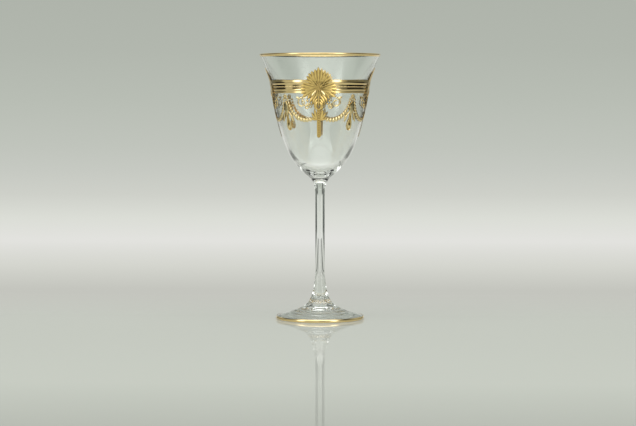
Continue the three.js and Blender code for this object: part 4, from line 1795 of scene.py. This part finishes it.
@dataclass
class Studio:
    """Floor, backdrop, lamps, surroundings and camera, in metres and degrees."""

    camera_distance: float = 1.57
    camera_height: float = 0.174
    camera_turn: float = 1.7  # to the right of the front medallion
    aim: tuple[float, float, float] = (-0.0016, 0.0, 0.084)
    lens: float = 112.1  # in mm, on a sensor of this width
    sensor: float = 36.0
    backdrop_y: float = 0.9
    backdrop_half: float = 0.48
    backdrop_top: float = 1.0
    floor_half: float = 0.75
    floor_front: float = -0.62
    lit_from: float = 0.02  # the floor's glow grows from its share by the glass to full between these two
    lit_to: float = 0.2
    near_glow: float = 0.2
    floor_roughness: float = 0.015
    floor_ior: float = 1.4
    # The floor's pale colour, darker towards the front as painted shade
    floor_colour_and_front_shade: Stops = ((-0.55, "#ABAEA7"), (-0.36, "#CED1CA"), (0.0, "#CED1CA"))  # by y, up to the glass
    floor_glow: Stops = (  # by y, from the glass on
        (0.0, "#C6C7C0"),
        (0.24, "#C4C5BE"),
        (0.5, "#D4D5CE"),
        (0.85, "#E2E2DE"),
        (0.9, "#E2E2DE"),
    )
    backdrop_glow: Stops = (  # by height
        (0.0, "#E2E2DE"),
        (0.026, "#DBDDD6"),
        (0.056, "#CED0C9"),
        (0.086, "#C6C9C2"),
        (0.116, "#C0C4BC"),
        (0.176, "#B8BDB4"),
        (0.236, "#B2B7AE"),
        (0.3, "#AFB4AB"),
    )
    fade_from: float = 0.43  # the floor greys between these two distances from the middle
    fade_to: float = 0.66
    side_grey: str = "#6E726C"
    edge_from: float = 0.22  # the backdrop darkens between these two, as the glass sees it
    edge_to: float = 0.34
    edge_low: float = 0.07  # and upwards between these two
    edge_high: float = 0.11
    edge_grey: str = "#4A4D48"
    strip_from: float = 0.1  # behind the glass, the floor's strips darken between these two
    strip_to: float = 0.2
    strip_reach: float = 0.5
    strip: Stops = (  # how dark, by distance from the middle
        (0.0, "#000000"),
        (0.09, "#000000"),
        (0.105, "#F0F0F0"),
        (0.125, "#606060"),
        (0.17, "#606060"),
        (0.2, "#F0F0F0"),
        (0.26, "#F0F0F0"),
        (0.3, "#505050"),
        (0.38, "#505050"),
        (0.42, "#000000"),
    )
    floor_z: float = -0.0002
    bounces: int = 28
    # The room's tiers from the lowest up, by bearing to the right of the camera
    gaps: Stops = (
        (-180, "#B4B8B0"),
        (-158, "#B4B8B0"),
        (-150, "#606460"),
        (-126, "#606460"),
        (-122, "#101010"),
        (-91, "#101010"),
        (-86, "#C0C4BC"),
        (-40, "#D4D8D0"),
        (-4, "#D4D8D0"),
        (1, "#1A1B1A"),
        (15, "#1A1B1A"),
        (20, "#D4D8D0"),
        (52, "#C4C8C0"),
        (61, "#101010"),
        (124, "#101010"),
        (130, "#606460"),
        (150, "#606460"),
        (158, "#B4B8B0"),
        (180, "#B4B8B0"),
    )
    walls: Stops = (
        (-180, "#B4B8B0"),
        (-158, "#B4B8B0"),
        (-150, "#6E726C"),
        (-100, "#6E726C"),
        (-90, "#C0C4BC"),
        (-50, "#D4D8D0"),
        (-1, "#D4D8D0"),
        (1, "#1A1B1A"),
        (15, "#1A1B1A"),
        (17, "#D4D8D0"),
        (50, "#D4D8D0"),
        (70, "#6E726C"),
        (150, "#6E726C"),
        (158, "#B4B8B0"),
        (180, "#B4B8B0"),
    )
    shelf: Stops = (
        (-180, "#B8BCB4"),
        (-60, "#B8BCB4"),
        (-40, "#D0D4CC"),
        (40, "#D0D4CC"),
        (60, "#B8BCB4"),
        (180, "#B8BCB4"),
    )
    upper: Stops = (
        (-180, "#B8BCB4"),
        (-140, "#B8BCB4"),
        (-130, "#141514"),
        (-97, "#141514"),
        (-87, "#B8BCB4"),
        (-60, "#D0D4CC"),
        (55, "#D0D4CC"),
        (63, "#141514"),
        (113, "#141514"),
        (122, "#B8BCB4"),
        (180, "#B8BCB4"),
    )
    ceiling: Stops = ((-180, "#B8BCB4"), (180, "#B8BCB4"))
    # Sines of the elevations that each tier fades in between, over the one under it
    walls_rise: tuple[float, float] = (-0.06, -0.045)
    shelf_rise: tuple[float, float] = (0.17, 0.2)
    upper_rise: tuple[float, float] = (0.42, 0.5)
    ceiling_rise: tuple[float, float] = (0.8, 0.9)
    lamps: tuple[Softbox, ...] = (
        Softbox(
            "left_softbox", bearing=-51.0, distance=1.1, width=0.6, height=1.6, middle_z=0.8, watts=6.8,
            aim_z=0.8, fade=(0.45, 0.05, 0.55),
        ),
        Softbox(
            "right_softbox", bearing=40.0, distance=1.1, width=0.58, height=1.6, middle_z=0.8, watts=6.6,
            aim_z=0.8, fade=(0.45, 0.05, 0.55),
        ),
        Softbox(
            "top_softbox", bearing=0.0, distance=0.5, width=3.4, height=1.9, middle_z=1.25, watts=30.0,
            aim_z=0.12, fade=(0.5, 0.05, 0.25),
        ),
    )

    def build(self) -> None:
        """Sets everything up."""
        self.camera()
        self.floor()
        self.backdrop()
        self.surroundings()
        for lamp in self.lamps:
            lamp.build()
        self.light_paths()

    def light_paths(self) -> None:
        """Lets light turn often enough inside the thick glass of foot, stem and bowl floor."""
        paths = bpy.context.scene.cycles
        paths.max_bounces = self.bounces
        paths.glossy_bounces = self.bounces
        paths.transmission_bounces = self.bounces

    def camera(self) -> None:
        """Sets the camera at the photograph's viewing angle."""
        data = bpy.data.cameras.new("camera")
        data.sensor_width = self.sensor
        data.lens = self.lens
        made = bpy.data.objects.new("camera", data)
        angle = math.radians(self.camera_turn)
        made.location = (
            self.camera_distance * math.sin(angle),
            -self.camera_distance * math.cos(angle),
            self.camera_height,
        )
        made.rotation_euler = (Vector(self.aim) - made.location).to_track_quat("-Z", "Y").to_euler()
        bpy.context.scene.collection.objects.link(made)
        bpy.context.scene.camera = made

    def sheet(self, name: str, corners: Sequence[tuple[float, float, float]]) -> bpy.types.Object:
        """Makes a flat sheet of the stage.

        Args:
            name: Its name.
            corners: Its four corners, in metres.

        Returns:
            The object.
        """
        mesh = bpy.data.meshes.new(name)
        mesh.from_pydata(corners, [], [(0, 1, 2, 3)])
        made = bpy.data.objects.new(name, mesh)
        bpy.context.scene.collection.objects.link(made)
        return made

    def graded(
        self, tree: bpy.types.NodeTree, axis: str, start: float, end: float, stops: Stops
    ) -> bpy.types.Node:
        """Adds a glow whose colour changes along an axis.

        Args:
            tree: The tree that gets it.
            axis: X, Y or Z of the object.
            start: Where the first stop is, in metres.
            end: Where the last stop is, in metres.
            stops: Place in metres and sRGB hex value of each.

        Returns:
            The emission node.
        """
        colour = self.shade(tree, axis, start, end, stops)
        return add_node(tree, "ShaderNodeEmission", inputs={"Color": colour, "Strength": 1.0})

    def shade(
        self, tree: bpy.types.NodeTree, axis: str, start: float, end: float, stops: Stops
    ) -> bpy.types.NodeSocket:
        """Adds a colour that changes along an axis.

        Args:
            tree: The tree that gets it.
            axis: X, Y or Z of the object.
            start: Where the ramp starts, in metres.
            end: Where it ends, in metres.
            stops: Place in metres and sRGB hex value of each.

        Returns:
            The colour.
        """
        share = self.along(tree, axis, start, end)
        ramp = add_node(tree, "ShaderNodeValToRGB", inputs={"Fac": share})
        set_stops(ramp.color_ramp, [((place - start) / (end - start), colour) for place, colour in stops])
        return ramp.outputs["Color"]

    def along(self, tree: bpy.types.NodeTree, axis: str, start: float, end: float) -> bpy.types.NodeSocket:
        """Gives how far a point is between two places along an axis of the object.

        Args:
            tree: The tree that gets it.
            axis: X, Y or Z.
            start: The first place, in metres.
            end: The second, in metres.

        Returns:
            The share, from 0 to 1.
        """
        where = add_node(tree, "ShaderNodeTexCoord")
        parts = add_node(tree, "ShaderNodeSeparateXYZ", inputs={"Vector": where.outputs["Object"]})
        share = add_node(
            tree,
            "ShaderNodeMapRange",
            {"interpolation_type": "LINEAR"},
            {"Value": parts.outputs[axis], "From Min": start, "From Max": end},
        )
        return share.outputs["Result"]

    def floor(self) -> None:
        """Lays the floor, which meets the backdrop without a line."""
        w = self.floor_half
        made = self.sheet(
            "floor",
            [
                (-w, self.floor_front, self.floor_z),
                (w, self.floor_front, self.floor_z),
                (w, self.backdrop_y, self.floor_z),
                (-w, self.backdrop_y, self.floor_z),
            ],
        )
        made.data.materials.append(self.acrylic())

    def acrylic(self) -> bpy.types.Material:
        """Builds the floor's finish: pale acrylic sheet, which mirrors the glass, lit from behind.

        Returns:
            The material.
        """
        material = bpy.data.materials.new("pale_acrylic_sheet")
        material.use_nodes = True
        tree = material.node_tree
        shader = tree.nodes["Principled BSDF"]
        # Its colour, darker towards the front as painted shade
        colour_and_front_shade = self.shade(tree, "Y", self.floor_front, 0.0, self.floor_colour_and_front_shade)
        tree.links.new(colour_and_front_shade, shader.inputs["Base Color"])
        shader.inputs["Roughness"].default_value = self.floor_roughness
        shader.inputs["IOR"].default_value = self.floor_ior
        glow = self.graded(tree, "Y", 0.0, self.backdrop_y, self.floor_glow)
        dark = add_node(tree, "ShaderNodeEmission", inputs={"Color": linear(self.edge_grey)})
        dusk = add_node(tree, "ShaderNodeEmission", inputs={"Color": linear(self.side_grey)})
        whole = shader.outputs["BSDF"]
        for level, light in (
            (self.seen_glow(tree), glow),
            (self.strips(tree), dark),
            (self.sideways(tree, self.fade_from, self.fade_to), dusk),
        ):
            whole = add_node(
                tree,
                "ShaderNodeMixShader",
                inputs={"Fac": level, 1: whole, 2: light.outputs["Emission"]},
            ).outputs["Shader"]
        tree.links.new(whole, tree.nodes["Material Output"].inputs["Surface"])
        return material

    def reach(self, tree: bpy.types.NodeTree) -> bpy.types.NodeSocket:
        """Gives a point's distance from the middle of the stage, to either side.

        Args:
            tree: The tree that gets it.

        Returns:
            The distance.
        """
        where = add_node(tree, "ShaderNodeTexCoord")
        parts = add_node(tree, "ShaderNodeSeparateXYZ", inputs={"Vector": where.outputs["Object"]})
        size = add_node(tree, "ShaderNodeMath", {"operation": "ABSOLUTE"}, {0: parts.outputs["X"]})
        return size.outputs["Value"]

    def sideways(self, tree: bpy.types.NodeTree, start: float, end: float) -> bpy.types.NodeSocket:
        """Gives how far a point is between two distances from the middle.

        Args:
            tree: The tree that gets it.
            start: The first distance, in metres.
            end: The second, in metres.

        Returns:
            The share, from 0 to 1.
        """
        share = add_node(
            tree,
            "ShaderNodeMapRange",
            {"interpolation_type": "SMOOTHSTEP"},
            {"Value": self.reach(tree), "From Min": start, "From Max": end},
        )
        return share.outputs["Result"]

    def through_glass(
        self, tree: bpy.types.NodeTree, first: bpy.types.NodeSocket, second: bpy.types.NodeSocket
    ) -> bpy.types.NodeSocket:
        """Keeps the product of two levels for what is seen through the glass.

        Args:
            tree: The tree that gets it.
            first: A level from 0 to 1.
            second: Another.

        Returns:
            The product, and 0 for what is seen in any other way.
        """
        whole = add_node(tree, "ShaderNodeLightPath").outputs["Is Transmission Ray"]
        for level in (first, second):
            both = add_node(tree, "ShaderNodeMath", {"operation": "MULTIPLY"}, {0: whole, 1: level})
            whole = both.outputs["Value"]
        return whole

    def strips(self, tree: bpy.types.NodeTree) -> bpy.types.NodeSocket:
        """Gives how dark the floor is behind the glass, to both sides, as only the glass sees it.

        Args:
            tree: The tree that gets it.

        Returns:
            The level, from 0 to 1.
        """
        share = add_node(
            tree, "ShaderNodeMath", {"operation": "DIVIDE"}, {0: self.reach(tree), 1: self.strip_reach}
        )
        ramp = add_node(tree, "ShaderNodeValToRGB", inputs={"Fac": share.outputs["Value"]})
        set_stops(ramp.color_ramp, [(place / self.strip_reach, level) for place, level in self.strip])
        behind = self.along(tree, "Y", self.strip_from, self.strip_to)
        return self.through_glass(tree, ramp.outputs["Color"], behind)

    def seen_glow(self, tree: bpy.types.NodeTree) -> bpy.types.NodeSocket:
        """Gives the floor's share of glow, for the camera and for what mirrors or transmits it.

        Args:
            tree: The tree that gets it.

        Returns:
            The share, from 0 to 1.
        """
        path = add_node(tree, "ShaderNodeLightPath")
        seen = path.outputs["Is Camera Ray"]
        for name in ("Is Glossy Ray", "Is Transmission Ray"):
            seen = add_node(
                tree, "ShaderNodeMath", {"operation": "MAXIMUM"}, {0: seen, 1: path.outputs[name]}
            ).outputs["Value"]
        share = add_node(
            tree,
            "ShaderNodeMapRange",
            inputs={
                "Value": self.along(tree, "Y", self.lit_from, self.lit_to),
                "To Min": self.near_glow,
                "To Max": 1.0,
            },
        )
        both = add_node(
            tree, "ShaderNodeMath", {"operation": "MULTIPLY"}, {0: seen, 1: share.outputs["Result"]}
        )
        return both.outputs["Value"]

    def backdrop(self) -> None:
        """Hangs the backdrop."""
        w, y = self.backdrop_half, self.backdrop_y
        low, top = self.floor_z, self.backdrop_top
        made = self.sheet("backdrop", [(-w, y, low), (w, y, low), (w, y, top), (-w, y, top)])
        made.data.materials.append(self.paper())

    def paper(self) -> bpy.types.Material:
        """Builds the backdrop's finish: matt paper, lit low down and greyer towards the top.

        Returns:
            The material.
        """
        material = bpy.data.materials.new("backdrop_paper")
        material.use_nodes = True
        tree = material.node_tree
        tree.nodes.remove(tree.nodes["Principled BSDF"])
        glow = self.graded(tree, "Z", 0.0, self.backdrop_glow[-1][0], self.backdrop_glow)
        side = self.through_glass(
            tree,
            self.sideways(tree, self.edge_from, self.edge_to),
            self.along(tree, "Z", self.edge_low, self.edge_high),
        )
        dusk = add_node(tree, "ShaderNodeEmission", inputs={"Color": linear(self.edge_grey)})
        shown = add_node(
            tree,
            "ShaderNodeMixShader",
            inputs={"Fac": side, 1: glow.outputs["Emission"], 2: dusk.outputs["Emission"]},
        )
        # Clear from behind, so that it hides nothing when the glass is turned
        behind = add_node(tree, "ShaderNodeNewGeometry").outputs["Backfacing"]
        clear = add_node(tree, "ShaderNodeBsdfTransparent")
        paper = add_node(
            tree,
            "ShaderNodeMixShader",
            inputs={"Fac": behind, 1: shown.outputs["Shader"], 2: clear.outputs["BSDF"]},
        )
        tree.links.new(paper.outputs["Shader"], tree.nodes["Material Output"].inputs["Surface"])
        return material

    def surroundings(self) -> None:
        """Lights the room in tiers: gaps low down, walls, a pale shelf, upper walls and a ceiling."""
        scene = bpy.context.scene
        scene.world = bpy.data.worlds.new("studio_room")
        scene.world.use_nodes = True
        tree = scene.world.node_tree
        where = add_node(tree, "ShaderNodeTexCoord")
        parts = add_node(tree, "ShaderNodeSeparateXYZ", inputs={"Vector": where.outputs["Object"]})
        back = add_node(tree, "ShaderNodeMath", {"operation": "MULTIPLY"}, {0: parts.outputs["Y"], 1: -1.0})
        bearing = add_node(
            tree,
            "ShaderNodeMath",
            {"operation": "ARCTAN2"},
            {0: parts.outputs["X"], 1: back.outputs["Value"]},
        )
        share = add_node(
            tree,
            "ShaderNodeMapRange",
            inputs={"Value": bearing.outputs["Value"], "From Min": -math.pi, "From Max": math.pi},
        )
        seen = add_node(tree, "ShaderNodeLightPath").outputs["Is Camera Ray"]
        whole = self.ring(tree, share.outputs["Result"], self.gaps)
        for (low, high), stops in (
            (self.walls_rise, self.walls),
            (self.shelf_rise, self.shelf),
            (self.upper_rise, self.upper),
            (self.ceiling_rise, self.ceiling),
        ):
            above = add_node(
                tree,
                "ShaderNodeMapRange",
                inputs={"Value": parts.outputs["Z"], "From Min": low, "From Max": high},
            )
            factor = above.outputs["Result"]
            if stops is self.walls:  # the camera itself sees these in place of the gaps
                factor = add_node(
                    tree, "ShaderNodeMath", {"operation": "MAXIMUM"}, {0: factor, 1: seen}
                ).outputs["Value"]
            whole = add_node(
                tree,
                "ShaderNodeMix",
                {"data_type": "RGBA"},
                {"Factor": factor, 6: whole, 7: self.ring(tree, share.outputs["Result"], stops)},
            ).outputs[2]
        tree.links.new(whole, tree.nodes["Background"].inputs["Color"])

    def ring(
        self, tree: bpy.types.NodeTree, share: bpy.types.NodeSocket, stops: Stops
    ) -> bpy.types.NodeSocket:
        """Adds a colour that changes with the bearing.

        Args:
            tree: The tree that gets it.
            share: The bearing, from 0 behind the glass, over the camera at 0.5, to 1.
            stops: Bearing in degrees, to the right of the camera, and sRGB hex value of each.

        Returns:
            The colour.
        """
        ramp = add_node(tree, "ShaderNodeValToRGB", inputs={"Fac": share})
        set_stops(ramp.color_ramp, [((degrees + 180) / 360, colour) for degrees, colour in stops])
        return ramp.outputs["Color"]


def main() -> None:
    """Builds the glass, its gold and the studio."""
    logging.basicConfig(level=logging.INFO, format="%(message)s")
    bpy.context.scene.view_settings.view_transform = "Standard"
    palette = Palette()
    low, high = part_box("bowl")
    wall = BowlWall(joint_z=low.z / MM, lip_top_z=high.z / MM, lip_radius=high.x / MM)
    glass = GlassBody(wall, palette)
    glass.bowl()
    glass.stem()
    glass.foot()
    bands = GiltBands(wall, glass, palette)
    bands.rim()
    bands.foot()
    strung = StrungPath()
    Frieze(wall, palette, strung).build()
    Medallions(wall, palette).build()
    Pendants(wall, palette, strung).build()
    Festoons(wall, palette, strung).build()
    Studio().build()


if __name__ == "__main__":
    main()
